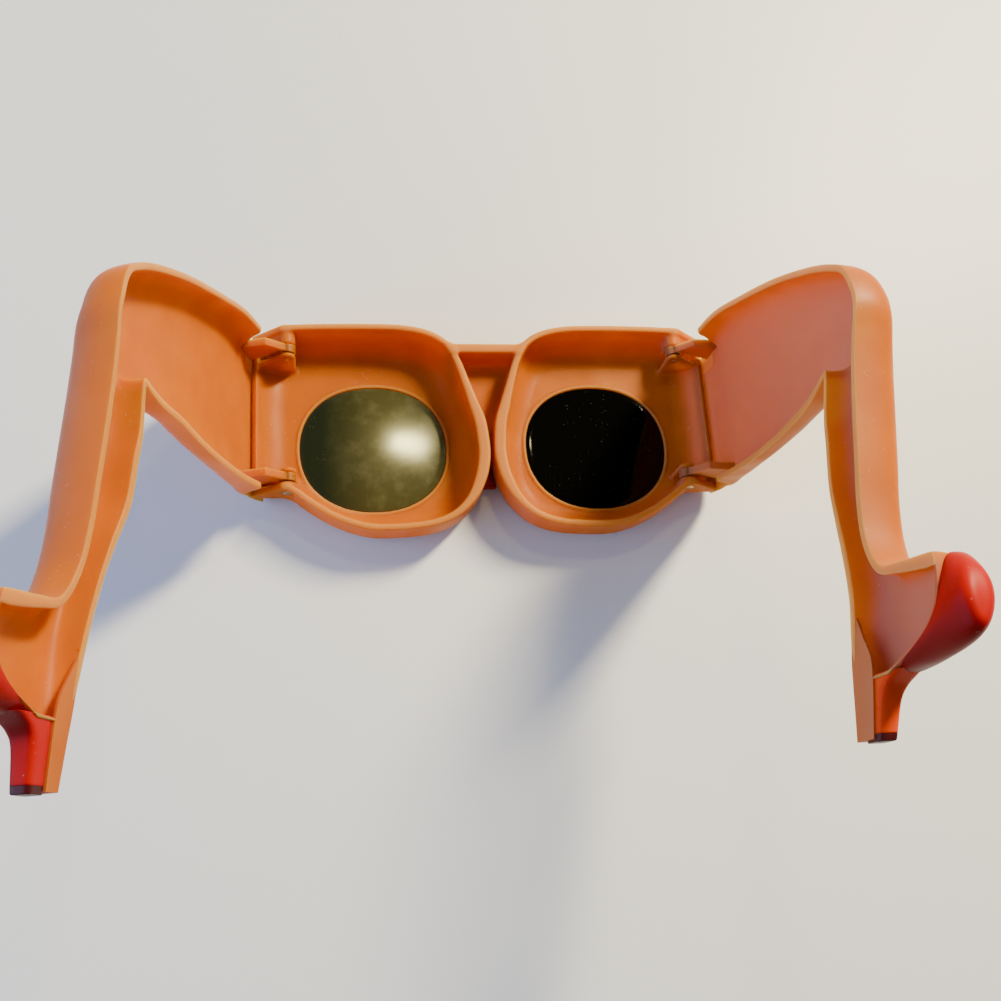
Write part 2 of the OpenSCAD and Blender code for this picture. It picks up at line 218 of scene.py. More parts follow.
def paint_sheen_and_shade(obj: bpy.types.Object, toward: Triple, most: float = 0.85) -> None:
    """Marks how far each point of a mesh is turned to one side, where light and shade are painted: a pale
    painted reflection on the orange, painted shade on the red and the dark tip. The mark is the cosine
    between its normal and that direction, eased from 0.05 to 0.95.

    Args:
        obj: the mesh object.
        toward: direction of that side.
        most: mark of a point that faces straight there.
    """
    normals = np.empty(3 * len(obj.data.vertices))
    obj.data.vertices.foreach_get("normal", normals)
    turned = ease((normals.reshape(-1, 3) @ np.array(toward) - 0.05) / 0.9)
    # On the cups the painted reflection is kept to the right cup, at 0.7 of its strength.
    if obj.name == "cups":
        points = np.empty_like(normals)
        obj.data.vertices.foreach_get("co", points)
        turned = 0.7 * turned * ease(points[::3] / (10 * MM))
    set_mask(obj, "painted_sheen_and_shade", most * turned)


def bevel(obj: bpy.types.Object, width: float, segments: int = 3) -> None:
    """Rounds the sharp edges of a piece, width in mm."""
    mod = obj.modifiers.new("rounded_edges", "BEVEL")
    mod.width = width * MM
    mod.segments = segments
    mod.limit_method = "ANGLE"
    mod.angle_limit = math.radians(35)
    mod.harden_normals = False


def soft_max(a: Array, b: Array, r: float) -> Array:
    """Larger of two fields, with the crease between them rounded over a width r."""
    h = np.maximum(r - np.abs(a - b), 0)
    return np.maximum(a, b) + h * h / (4 * r)


def soft_min(a: Array, b: Array, r: float) -> Array:
    """Smaller of two fields, with the crease between them filled over a width r."""
    return -soft_max(-a, -b, r)


class PlanarDistance:
    """Signed distance to a closed outline in a plane, kept on a fine grid: negative inside."""

    def __init__(self, outline: Array, low: Pair, high: Pair, step: float = 0.25) -> None:
        """Measures the grid once.

        Args:
            outline: points of the closed outline.
            low: lowest corner of the grid.
            high: highest corner of the grid.
            step: spacing of the grid.
        """
        self.low, self.step = np.array(low), step
        x = np.arange(low[0], high[0] + step, step)
        y = np.arange(low[1], high[1] + step, step)
        p = np.stack(np.meshgrid(x, y, indexing="ij"), -1)
        a, b = outline, np.roll(outline, -1, 0)
        best = np.full(p.shape[:2], np.inf)
        inside = np.zeros(p.shape[:2], bool)
        for start, end in zip(a, b):
            along = end - start
            f = np.clip(((p - start) @ along) / max(float(along @ along), 1e-12), 0, 1)
            best = np.minimum(best, np.linalg.norm(p - start - f[..., None] * along, axis=-1))
            spans = (start[1] > p[..., 1]) != (end[1] > p[..., 1])
            if abs(along[1]) > 1e-12:
                inside ^= spans & (p[..., 0] < start[0] + (p[..., 1] - start[1]) * along[0] / along[1])
        self.grid = np.where(inside, -best, best)

    def __call__(self, x: Array, y: Array) -> Array:
        """Distance at any points, read between the grid's own points in proportion."""
        u = np.clip((x - self.low[0]) / self.step, 0, self.grid.shape[0] - 1.001)
        v = np.clip((y - self.low[1]) / self.step, 0, self.grid.shape[1] - 1.001)
        i, j = u.astype(int), v.astype(int)
        fu, fv = u - i, v - j
        g = self.grid
        return (
            g[i, j] * (1 - fu) * (1 - fv)
            + g[i + 1, j] * fu * (1 - fv)
            + g[i, j + 1] * (1 - fu) * fv
            + g[i + 1, j + 1] * fu * fv
        )


CORNERS = np.array([[i >> 2 & 1, i >> 1 & 1, i & 1] for i in range(8)])
EDGES = [(a, b) for a in range(8) for b in range(a + 1, 8) if bin(a ^ b).count("1") == 1]


def net_of_field(values: Array) -> tuple[Array, Array]:
    """Net over the zero surface of a field on a regular grid: one point in each cell that the surface
    crosses, at the mean of its crossings with the cell's edges, and one quad around each grid edge that it
    crosses.

    Args:
        values: the field, negative inside.

    Returns:
        Points in grid units, and quads that face outwards.
    """
    inside = values < 0
    cell = tuple(n - 1 for n in values.shape)

    def corner(grid: Array, c: Array) -> Array:
        """Values at one of the corners of every cell."""
        return grid[c[0] : c[0] + cell[0], c[1] : c[1] + cell[1], c[2] : c[2] + cell[2]]

    count = sum(corner(inside, c).astype(np.int8) for c in CORNERS)
    crossed = (count > 0) & (count < 8)
    ids = np.full(cell, -1)
    ids[crossed] = np.arange(crossed.sum())
    at = np.argwhere(crossed).astype(float)
    total, hits = np.zeros((len(at), 3)), np.zeros(len(at))
    for a, b in EDGES:
        va, vb = corner(values, CORNERS[a])[crossed], corner(values, CORNERS[b])[crossed]
        hit = (va < 0) != (vb < 0)
        f = np.where(hit, va / np.where(hit, va - vb, 1), 0)
        total += hit[:, None] * (CORNERS[a] + f[:, None] * (CORNERS[b] - CORNERS[a]))
        hits += hit
    points = at + total / hits[:, None]
    quads = []
    for axis in range(3):
        u, v = (axis + 1) % 3, (axis + 2) % 3
        near, far = [slice(None)] * 3, [slice(None)] * 3
        near[axis], far[axis] = slice(None, -1), slice(1, None)
        leaves = inside[tuple(near)]
        where = np.argwhere(leaves != inside[tuple(far)])
        for k in (u, v):
            where = where[(where[:, k] > 0) & (where[:, k] < cell[k])]
        out = leaves[tuple(where.T)]
        ring = []
        for du, dv in ((-1, -1), (0, -1), (0, 0), (-1, 0)):
            c = where.copy()
            c[:, u] += du
            c[:, v] += dv
            ring.append(ids[tuple(c.T)])
        ring = np.stack(ring, -1)
        quads.append(np.where(out[:, None], ring, ring[:, ::-1]))
    return points, np.concatenate(quads)


def field_piece(
    name: str, shape: Callable[[Array], Array], low: Triple, high: Triple, step: float
) -> tuple[bpy.types.Object, Array, Array]:
    """Piece that fills a field where it is negative. Its points are drawn onto the surface along the field's
    slope, and its normals are that slope.

    Args:
        name: the piece's name.
        shape: field in mm, for rows of points in mm.
        low: lowest corner of the grid, in mm.
        high: highest corner of the grid, in mm.
        step: spacing of the grid, in mm.

    Returns:
        The new object, its points in mm and its normals.
    """
    axes = [np.arange(a, b, step) for a, b in zip(low, high)]
    cells = np.stack(np.meshgrid(*axes, indexing="ij"), -1)
    values = shape(cells.reshape(-1, 3)).reshape(cells.shape[:3])
    points, quads = net_of_field(values)
    points = points * step + np.array(low)

    def slope(p: Array, h: float) -> Array:
        """Slope of the field, measured over a distance h each way."""
        sides = [shape(p + h * e) - shape(p - h * e) for e in np.eye(3)]
        return np.stack(sides, -1) / (2 * h)

    for _ in range(3):
        g = slope(points, 0.12)
        move = shape(points)[:, None] * g / np.maximum((g * g).sum(-1), 0.25)[:, None]
        points = points - np.clip(move, -0.6 * step, 0.6 * step)
    normals = slope(points, 0.2)
    normals /= np.maximum(np.linalg.norm(normals, axis=-1), 1e-6)[:, None]
    obj = make_mesh(name, points * MM, [quads], sharp=180)
    obj.data.normals_split_custom_set_from_vertices(normals.astype(np.float32))
    return obj, points, normals


# Shader nodes


class Tree:
    """Short hand for building the nodes of one tree."""

    def __init__(self, tree: bpy.types.NodeTree) -> None:
        """Keeps the tree."""
        self.tree = tree

    def feed(self, node: bpy.types.Node, links: dict[str | int, object]) -> None:
        """Links a socket to, or sets a value on, each of a node's inputs that is named.

        Args:
            node: the node.
            links: value or output socket for each input, by its name or number.
        """
        for key, value in links.items():
            if isinstance(value, bpy.types.NodeSocket):
                self.tree.links.new(value, node.inputs[key])
            else:
                node.inputs[key].default_value = value

    def node(
        self, kind: str, links: dict[str | int, object] | None = None, **settings: object
    ) -> bpy.types.Node:
        """Adds a node.

        Args:
            kind: Blender's name of the node type.
            links: value or output socket for each input, by its name or number.
            settings: properties of the node.

        Returns:
            The node.
        """
        made = self.tree.nodes.new(kind)
        for key, value in settings.items():
            setattr(made, key, value)
        self.feed(made, links or {})
        return made

    def group(self, used: bpy.types.NodeTree, **links: object) -> bpy.types.bpy_prop_collection:
        """Adds a node group.

        Args:
            used: the group.
            links: value or socket for each input, an underscore standing for a space in its name.

        Returns:
            Its outputs.
        """
        made = self.node("ShaderNodeGroup", node_tree=used)
        self.feed(made, {key.replace("_", " "): value for key, value in links.items()})
        return made.outputs

    def place(self) -> bpy.types.NodeSocket:
        """Place on the object, in metres."""
        return self.node("ShaderNodeTexCoord").outputs["Object"]

    def mask(self, name: str) -> bpy.types.NodeSocket:
        """Number that a mesh keeps at each of its points."""
        return self.node("ShaderNodeAttribute", attribute_name=name).outputs["Fac"]

    def vector(self, how: str, a: object, b: object) -> bpy.types.Node:
        """Arithmetic on two vectors."""
        return self.node("ShaderNodeVectorMath", {0: a, 1: b}, operation=how)

    def noise(
        self, place: object, scale: object, detail: float = 2, rough: float = 0.5
    ) -> bpy.types.NodeSocket:
        """Value of a noise pattern at a place."""
        links = {"Vector": place, "Scale": scale, "Detail": detail, "Roughness": rough}
        return self.node("ShaderNodeTexNoise", links).outputs["Fac"]

    def span(
        self, value: object, low: float, high: float, to_low: float = 0.0, to_high: float = 1.0
    ) -> bpy.types.NodeSocket:
        """Value moved from one span to another, without passing its ends."""
        links = {"Value": value, "From Min": low, "From Max": high, "To Min": to_low, "To Max": to_high}
        return self.node("ShaderNodeMapRange", links, clamp=True).outputs["Result"]

    def add(self, a: object, b: object) -> bpy.types.NodeSocket:
        """Sum of two values."""
        return self.node("ShaderNodeMath", {0: a, 1: b}, operation="ADD").outputs[0]

    def times(self, a: object, b: object) -> bpy.types.NodeSocket:
        """Product of two values."""
        return self.node("ShaderNodeMath", {0: a, 1: b}, operation="MULTIPLY").outputs[0]

    def mix(self, share: object, a: object, b: object) -> bpy.types.NodeSocket:
        """Mix of two colours, each a socket or three numbers."""
        whole = [c if isinstance(c, bpy.types.NodeSocket) else (*c, 1) for c in (a, b)]
        links = {0: share, 6: whole[0], 7: whole[1]}
        return self.node("ShaderNodeMix", links, data_type="RGBA", blend_type="MIX").outputs[2]


def new_material(name: str) -> tuple[bpy.types.Material, Tree, bpy.types.Node]:
    """New material, its tree and its Principled shader."""
    made = bpy.data.materials.new(name)
    made.use_nodes = True
    return made, Tree(made.node_tree), made.node_tree.nodes["Principled BSDF"]


def new_group(
    name: str, numbers: dict[str, float], outputs: list[str]
) -> tuple[Tree, bpy.types.Node, bpy.types.Node]:
    """Node group with a place and some numbers as its inputs, and numbers as its outputs.

    Args:
        name: the group's name.
        numbers: default of each input besides the place.
        outputs: name of each output.

    Returns:
        The group's tree, its input node and its output node.
    """
    group = bpy.data.node_groups.new(name, "ShaderNodeTree")
    group.interface.new_socket(name="Vector", in_out="INPUT", socket_type="NodeSocketVector")
    for label, default in numbers.items():
        socket = group.interface.new_socket(name=label, in_out="INPUT", socket_type="NodeSocketFloat")
        socket.default_value = default
    for label in outputs:
        group.interface.new_socket(name=label, in_out="OUTPUT", socket_type="NodeSocketFloat")
    return Tree(group), group.nodes.new("NodeGroupInput"), group.nodes.new("NodeGroupOutput")


def grain_group() -> bpy.types.NodeTree:
    """Moulding grain: fine pits and slow waves in height, and the waves alone for colour and gloss."""
    numbers = {"Wave Scale": 70.0, "Pit Scale": 2600.0}
    t, start, end = new_group("moulding_grain", numbers, ["Height", "Waves"])
    place = start.outputs["Vector"]
    waves = t.noise(place, start.outputs["Wave Scale"], 1.5)
    pits = t.noise(place, start.outputs["Pit Scale"], 3, 0.6)
    t.feed(end, {"Height": t.add(t.times(waves, 6.0), t.times(pits, 0.12)), "Waves": waves})
    return t.tree


def wear_group() -> bpy.types.NodeTree:
    """Handling wear: rubbed patches along the edges, and thin bent scratches in patches, as masks."""
    numbers = {"Edge": 0.0, "Scratch Scale": 900.0}
    t, start, end = new_group("handling_wear", numbers, ["Rubbed", "Scratches"])
    place = start.outputs["Vector"]
    bend = t.node("ShaderNodeTexNoise", {"Vector": place, "Scale": 25.0, "Detail": 1.0}).outputs["Color"]
    bent = t.vector("ADD", t.vector("MULTIPLY", bend, (0.01, 0.01, 0.01)).outputs[0], place)
    drawn = t.vector("MULTIPLY", bent.outputs[0], (4.0, 0.12, 1.5))
    hairs = t.span(t.noise(drawn.outputs[0], start.outputs["Scratch Scale"], 2, 0.7), 0.66, 0.72)
    patches = t.span(t.noise(place, 45.0, 3), 0.52, 0.68)
    broken = t.span(t.noise(place, 260.0, 4, 0.65), 0.4, 0.7)
    rubbed = t.times(start.outputs["Edge"], t.times(broken, 0.75))
    t.feed(end, {"Rubbed": rubbed, "Scratches": t.times(hairs, patches)})
    return t.tree


def dust_group() -> bpy.types.NodeTree:
    """Dust: fine specks on what faces up, as a mask."""
    t, start, end = new_group("fine_dust", {"Amount": 0.3}, ["Dust"])
    place = start.outputs["Vector"]
    specks = t.node("ShaderNodeTexVoronoi", {"Vector": place, "Scale": 900.0})
    dots = t.span(specks.outputs["Distance"], 0.08, 0.2, 1.0, 0.0)
    thinned = t.span(t.noise(place, 240.0, 2), 0.55, 0.62)
    normal = t.node("ShaderNodeNewGeometry").outputs["Normal"]
    up = t.span(t.node("ShaderNodeSeparateXYZ", {0: normal}).outputs["Z"], 0.3, 0.9)
    t.feed(end, {"Dust": t.times(t.times(t.times(dots, thinned), up), start.outputs["Amount"])})
    return t.tree


@dataclass(frozen=True)
class Groups:
    """The node groups that the materials share."""

    grain: bpy.types.NodeTree
    wear: bpy.types.NodeTree
    dust: bpy.types.NodeTree

    @classmethod
    def build(cls) -> "Groups":
        """Builds each group once."""
        return cls(grain_group(), wear_group(), dust_group())


# Finishes


@dataclass(frozen=True)
class Plastic:
    """A moulded or painted plastic: slow colour changes, light and shade painted on one side, pale rims that
    are a painted highlight with rubbed wear on them, scratches, a little dust, and light that goes some way
    into it."""

    name: str
    body: Triple
    deep: Triple
    edge: Triple
    painted_sheen_and_shade: Triple
    rough: float = 0.2
    edge_rough: float = 0.45
    glow: float = 0.0
    glow_depth: float = 0.004
    glow_tint: Triple = (1.0, 0.35, 0.05)
    shine: float = 0.25
    bump: float = 0.00002
    dust: float = 0.2
    dust_tone: Triple = (0.75, 0.72, 0.68)

    def material(self, groups: Groups) -> bpy.types.Material:
        """Builds the material.

        Args:
            groups: the shared node groups.

        Returns:
            The material.
        """
        made, t, shader = new_material(self.name)
        place, rim = t.place(), t.mask("rim")
        grain = t.group(groups.grain, Vector=place)
        wear = t.group(groups.wear, Vector=place, Edge=rim)
        dust = t.group(groups.dust, Vector=place, Amount=self.dust)
        colour = t.mix(t.span(grain["Waves"], 0.3, 0.7), self.body, self.deep)
        # Light and shade painted on one side: a pale pink reflection on the orange, shade on the red and the
        # dark tip.
        colour = t.mix(t.mask("painted_sheen_and_shade"), colour, self.painted_sheen_and_shade)
        # Pale edge colour: on the rims and lens beads it is a painted highlight; in rubbed patches and
        # scratches it is wear.
        for edge_highlight_and_wear, share in ((rim, 0.8), (wear["Rubbed"], 0.35), (wear["Scratches"], 0.18)):
            colour = t.mix(t.times(edge_highlight_and_wear, share), colour, self.edge)
        rough = t.span(grain["Waves"], 0.3, 0.7, self.rough * 0.8, self.rough * 1.25)
        rough = t.add(rough, t.times(rim, self.edge_rough - self.rough))
        height = {"Height": grain["Height"], "Strength": 0.55, "Distance": self.bump}
        t.feed(shader, {
            "Base Color": t.mix(dust["Dust"], colour, self.dust_tone),
            "Roughness": t.add(rough, t.times(wear["Scratches"], 0.2)),
            "Normal": t.node("ShaderNodeBump", height).outputs["Normal"],
            "IOR": 1.5,
            "Specular IOR Level": self.shine,
            "Subsurface Weight": self.glow,
            "Subsurface Scale": self.glow_depth,
            "Subsurface Radius": self.glow_tint,
        })
        return made


@dataclass(frozen=True)
class TintedLens:
    """Dark tinted lens, whose paler side is a painted reflection, with faint wiping marks, smudges and dust.
    """

    name: str
    one_side: Triple
    other_side: Triple
    rough: float
    middle: float
    span: float = 0.018
    coat: float = 0.3
    shine: float = 0.5
    smudge: float = 0.24
    scratch_tone: Triple = (0.3, 0.3, 0.26)
    smudge_tone: Triple = (0.3, 0.3, 0.17)
    dust_tone: Triple = (0.5, 0.5, 0.47)

    def material(self, groups: Groups) -> bpy.types.Material:
        """Builds the material.

        Args:
            groups: the shared node groups.

        Returns:
            The material.
        """
        made, t, shader = new_material(self.name)
        place = t.place()
        wear = t.group(groups.wear, Vector=place, Scratch_Scale=700.0)
        dust = t.group(groups.dust, Vector=place, Amount=0.08)
        # The paler tone on one side is a painted reflection of the light; the smudges show only on that side.
        across = t.node("ShaderNodeSeparateXYZ", {0: place}).outputs["X"]
        share = t.span(across, self.middle - self.span, self.middle + self.span)
        colour = t.mix(share, self.one_side, self.other_side)
        colour = t.mix(t.times(wear["Scratches"], 0.04), colour, self.scratch_tone)
        colour = t.mix(dust["Dust"], colour, self.dust_tone)
        smudge = t.span(t.noise(place, 230.0, 4, 0.55), 0.45, 0.85, 0.0, self.smudge)
        t.feed(shader, {
            "Base Color": t.mix(t.times(smudge, share), colour, self.smudge_tone),
            "Roughness": t.span(t.noise(place, 60.0, 4, 0.6), 0.35, 0.7, self.rough * 0.85, self.rough * 1.2),
            "IOR": 1.55,
            "Specular IOR Level": self.shine,
            "Coat Weight": self.coat,
            "Coat Roughness": 0.1,
        })
        return made


@dataclass(frozen=True)
class PinBrass:
    """Brass of the hinge pins, turned, slightly dulled."""

    name: str = "turned_brass"
    metal: Triple = (0.72, 0.5, 0.22)
    dull: Triple = (0.38, 0.25, 0.12)

    def material(self, groups: Groups) -> bpy.types.Material:
        """Builds the material.

        Args:
            groups: the shared node groups.

        Returns:
            The material.
        """
        made, t, shader = new_material(self.name)
        grain = t.group(groups.grain, Vector=t.place(), Wave_Scale=500.0)
        t.feed(shader, {
            "Base Color": t.mix(t.span(grain["Waves"], 0.35, 0.65), self.metal, self.dull),
            "Roughness": t.span(grain["Waves"], 0.3, 0.7, 0.25, 0.5),
            "Metallic": 1.0,
        })
        return made


# Sizes that the pieces share, all in mm


@dataclass(frozen=True)
class Hinge:
    """Hinge axes and the curved laps around them."""

    x: float = 58.8
    cup_deep: float = 14.5
    ear_r: float = 2.9
    eye_r: float = 2.4
    lap_gap: float = 0.4
    ear_gap: float = 0.2
    ear_t: float = 1.4
    tongue_t: float = 2.4
    pin_r: float = 0.9
    pin_play: float = 0.05
    lap_end: float = 25.0
    lap_turn: float = 33.0
    open_max: float = 18.6
    stop_gap: float = 0.08
    leg_wall: float = 1.8
    front_high: float = 34.5
    front_low: float = -16.2
    tongue_high: float = 28.8
    tongue_low: float = -13.4

    @property
    def z(self) -> float:
        """Height of the axes over the front face."""
        return self.cup_deep - self.ear_r - 0.1

    @property
    def rim_s(self) -> float:
        """Level of a leg's rim, from the hinge axis outwards."""
        return self.ear_r + 0.35

    @property
    def lap_front(self) -> float:
        """Radius of the front's lap."""
        return self.z - 0.05

    @property
    def lap_leg(self) -> float:
        """Radius inside a leg's lap."""
        return self.lap_front + self.lap_gap

    @property
    def leg_in(self) -> float:
        """Level of the inner face of a leg's wall."""
        return self.lap_leg + 0.2

    @property
    def leg_out(self) -> float:
        """Level of the outer face of a leg's wall."""
        return self.leg_in + self.leg_wall

    @property
    def chamfer(self) -> float:
        """Angle of the plane that ends the front's lap, in degrees."""
        return 90 - self.lap_end - math.degrees(math.asin(self.ear_r / self.lap_front))


HINGE = Hinge()


@dataclass
class Front:
    """Front moulding: two deep cups, the web between them and the hinge ears, with its lenses, its pins and
    the red panel in the nose gap."""

    lens_x: float = 33.9
    lens_w: float = 43.2
    lens_h: float = 39.2
    lens_t: float = 1.6
    lens_play: float = 0.1
    lens_lip: float = 1.2
    lens_power: float = 2.2
    lens_crown: float = 0.25
    bead: float = 0.5
    cup_top: float = 35.0
    cup_low: float = 28.8
    wall: float = 2.0
    cup_round: float = 7.0
    nose: float = 0.6
    web_top: float = 29.0
    rib_h: float = 3.0
    web_t: float = 2.0
    panel_z: float = 1.4
    panel_t: float = 2.4
    panel_low: float = 13.0
    net_step: float = 0.55
    net_low: Triple = (-71.5, -31.5, -1.2)
    net_high: Triple = (71.5, 37.5, 16.5)

    def outline(self) -> Array:
        """Outline of one cup, from the temple over the top, down the nose and along the bottom."""
        h, n, top, low, far = HINGE, self.nose, self.cup_top, self.cup_low, 90.0
        points = [
            (far, h.front_high - 0.5), (76, h.front_high - 0.1), (66, h.front_high), (56, top),
            (46, top + 0.3), (34, top + 0.4), (24, top), (16.5, top - 1.8), (11.4, top - 5.2),
            (8.2, top - 10.5), (5.6, 17), (3.2, 10), (n + 0.8, 4.5), (n, -3), (n + 0.2, -8),
            (n + 1.5, -13.5), (n + 4.6, -19.5), (n + 10, -low + 4), (18, -low + 1), (28, -low),
            (37, -low + 0.4), (46, -low + 3.6), (53, -low + 8), (58.5, h.front_low - 0.6),
            (64, h.front_low), (76, h.front_low + 0.1), (far, h.front_low + 0.5),
        ]
        return smooth_rows(np.array(points, float), 6)

    def nose_x(self, y: Array) -> Array:
        """Half width of the gap between the cups at a height."""
        n, top = self.nose, self.cup_top
        ys = [-19.5, -13.5, -8, -3, 4.5, 10, 17, top - 10.5, top - 5.2]
        xs = [n + 4.6, n + 1.5, n + 0.2, n, n + 0.8, 3.2, 5.6, 8.2, 11.4]
        return np.interp(y, ys, xs)

    def lens_outline(self, grow: float = 0.0, count: int = 96) -> Array:
        """Oval with fuller corners around a lens centre, grown all round."""
        x, y = superellipse(round_angles(count), self.lens_power)
        return np.stack([(self.lens_w / 2 + grow) * x + self.lens_x, (self.lens_h / 2 + grow) * y], -1)

    def seat(self) -> PlanarDistance:
        """Distance to the edge of a lens seat."""
        return PlanarDistance(self.lens_outline(self.lens_play), (8.0, -24.0), (60.0, 24.0))

    def field(self) -> Callable[[Array], Array]:
        """Field of the whole front moulding, negative inside.

        A cup is a rounded block over its outline less a rounded hollow; both end at the temple in a
        lap around the hinge axis. Ears, web and rib are added, and the lens seats are cut.

        Returns:
            Function from rows of points to distances, in mm.
        """
        h = HINGE
        cup = PlanarDistance(self.outline(), (-2.0, -34.0), (78.0, 40.0))
        seat = self.seat()
        turn = math.radians(h.chamfer)

        def rounded(d: Array, up: Array, r: float) -> Array:
            """Distance to a block over an outline, rounded with radius r along its lower edge."""
            a, b = d + r, r - up
            return np.hypot(np.maximum(a, 0), np.maximum(b, 0)) + np.minimum(np.maximum(a, b), 0) - r

        def ear(
            x: Array, z: Array, y: Array, low: float, high: float, foot: float, axis: Array, end: Array
        ) -> Array:
            """One hinge ear: a round eye, a foot below it and its share of the lap."""
            eye = axis - h.eye_r
            leg = np.maximum(np.abs(x - h.x + h.eye_r / 2) - h.eye_r / 2, np.maximum(foot - z, z - h.z))
            lap = np.maximum(np.maximum(axis - h.lap_front + 0.3, end - h.eye_r + 0.3), foot - z)
            lap = np.maximum(np.maximum(lap, h.x - 0.5 - x), z - h.z - 1.0)
            flat = np.minimum(np.minimum(eye, leg), lap)
            return soft_max(flat, np.abs(y - (low + high) / 2) - (high - low) / 2, 0.8)

        def shape(p: Array) -> Array:
            """The field at rows of points."""
            x, y, z = np.abs(p[:, 0]), p[:, 1], p[:, 2]
            away = x - h.x
            axis = np.where(away > 0, np.hypot(away, z - h.z), h.z - z)
            true_axis = np.hypot(away, z - h.z)
            end = away * math.cos(turn) + (z - h.z) * math.sin(turn)
            d = cup(x, y)
            from_nose = np.hypot(np.maximum(x - 2.5, 0) / 1.2, (y + 3) / 2.6)
            thick = self.wall + 1.6 / (1 + (from_nose / 7) ** 4)
            level = h.z - (h.z - h.lap_front) * ease(away / 4)
            outer = soft_max(rounded(d, z, self.cup_round), axis - level, 0.002 + 0.6 * ease(away / 4))
            outer = soft_max(outer, np.where(away > -1, end - h.ear_r - 0.15, -9.0), 0.5)
            bowl = rounded(d + thick, z - self.wall, self.cup_round + 1)
            bowl = np.maximum(bowl, axis - h.lap_front + self.wall)
            solid = soft_max(outer, -bowl, 0.7)
            solid = soft_max(solid, z - h.cup_deep, 0.9)
            under, over = h.tongue_high - h.tongue_t - h.ear_gap, h.tongue_low + h.tongue_t + h.ear_gap
            for low, high, foot in (
                (h.tongue_high + h.ear_gap, h.front_high - 0.6, self.cup_round),
                (h.front_low + 0.6, h.tongue_low - h.ear_gap, self.cup_round),
                (under - h.ear_t, under, 1.0),
                (over, over + h.ear_t, 1.0),
            ):
                solid = soft_min(solid, ear(x, z, y, low, high, foot, true_axis, end), 1.1)
            inner = x - self.nose_x(y) - 1.4
            web_z = self.panel_z + self.panel_t
            web = np.maximum(np.abs(y - (self.web_top - 3) / 2) - (self.web_top + 3) / 2, inner)
            web = soft_max(web, np.abs(z - web_z - self.web_t / 2) - self.web_t / 2, 0.5)
            rib = np.maximum(np.abs(y - self.web_top + self.rib_h / 2) - self.rib_h / 2, inner)
            rib = soft_max(rib, np.abs(z - (web_z + h.cup_deep) / 2) - (h.cup_deep - web_z) / 2, 0.8)
            solid = soft_min(solid, soft_min(web, rib, 1.0), 1.2)
            rim = seat(x, y)
            bead = np.hypot(rim - self.bead, z - self.wall) - self.bead
            solid = soft_min(solid, bead, 0.5)
            pocket = np.maximum(rim, self.wall * 0.4 - z)
            solid = soft_max(solid, -pocket, 0.2)
            solid = soft_max(solid, -(rim + self.lens_lip + self.lens_play), 0.5)
            head = np.hypot(away, z - h.z) - h.pin_r - 0.6
            head = np.maximum(head, np.minimum(h.front_high - y, y - h.front_low))
            return np.maximum(solid, -head)

        return shape

    def build_cups(self) -> bpy.types.Object:
        """Front moulding as one smooth piece, with a mask on its flat rims and on the beads of the lenses."""
        obj, points, normals = field_piece("cups", self.field(), self.net_low, self.net_high, self.net_step)
        x, y, z = points.T
        # Up-facing flat rims and the lens beads get the pale edge colour as a painted highlight.
        rims = ease((z - HINGE.cup_deep + 0.75) / 0.5) * ease((normals[:, 2] - 0.5) / 0.4)
        off_bead = np.abs(self.seat()(np.abs(x), y) - 0.35)
        beads = ease((0.8 - off_bead) / 0.4) * ease((z - self.wall + 0.3) / 0.4) * (z < 6)
        set_mask(obj, "rim", np.maximum(rims, 0.9 * beads))
        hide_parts("front_frame")
        return obj

    def build_lens(self, side: Side) -> bpy.types.Object:
        """Lens as rings over its oval: a crowned back, a rounded edge and a flat front.

        A ring of relative size q lies below the middle of the back by the crown times q squared.

        Args:
            side: which lens.

        Returns:
            The lens.
        """
        low, high, edge = self.wall * 0.4, self.wall * 0.4 + self.lens_t, 0.2
        top = high - self.lens_crown
        crowned = np.linspace(0.04, 0.985, 14)
        sizes = np.concatenate([crowned, [0.993, 1.0, 1.0, 0.993, 0.98, 0.04]])
        heights = np.concatenate([
            high - self.lens_crown * crowned**2,
            [top - 0.04, top - edge, low + edge, low + 0.04, low, low],
        ])
        middle = np.array([self.lens_x, 0.0])
        ring = self.lens_outline() - middle
        flat = ring[None] * sizes[:, None, None] + middle
        up = np.broadcast_to(heights[:, None, None], (len(sizes), len(ring), 1))
        ends = [[self.lens_x, 0, heights[0]], [self.lens_x, 0, heights[-1]]]
        points = np.vstack([np.concatenate([flat, up], -1).reshape(-1, 3), ends])
        points[:, 0] *= side.value
        n = len(ring)
        back = fan(np.append(np.arange(n), len(points) - 2))
        front = fan(np.append(np.arange(n) + (len(sizes) - 1) * n, len(points) - 1))
        faces = [grid_quads(len(sizes), n)[:, ::-1], back, front[:, ::-1]]
        obj = make_mesh(f"lens_glass_{side.word}", points * MM, faces, 30)
        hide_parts(f"lens_{side.word}")
        return obj

    def build_panel(self) -> bpy.types.Object:
        """Red panel in the nose gap: its outline follows the gap, with rounded edges."""
        y = np.linspace(-self.panel_low, self.web_top - 5, 40)
        half = self.nose_x(y) + 0.15
        outline = np.vstack([np.stack([half, y], -1), np.stack([-half, y], -1)[::-1]])
        n = len(outline)
        levels = [self.panel_z + 0.02, self.panel_z + self.panel_t - 0.02]
        points = np.vstack([np.column_stack([outline, np.full(n, z)]) for z in levels])
        cap = ladder(n)
        obj = make_mesh("nose_panel", points * MM, [grid_quads(2, n), cap[:, ::-1], cap + n])
        bevel(obj, 0.25)
        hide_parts("bridge_panel")
        return obj

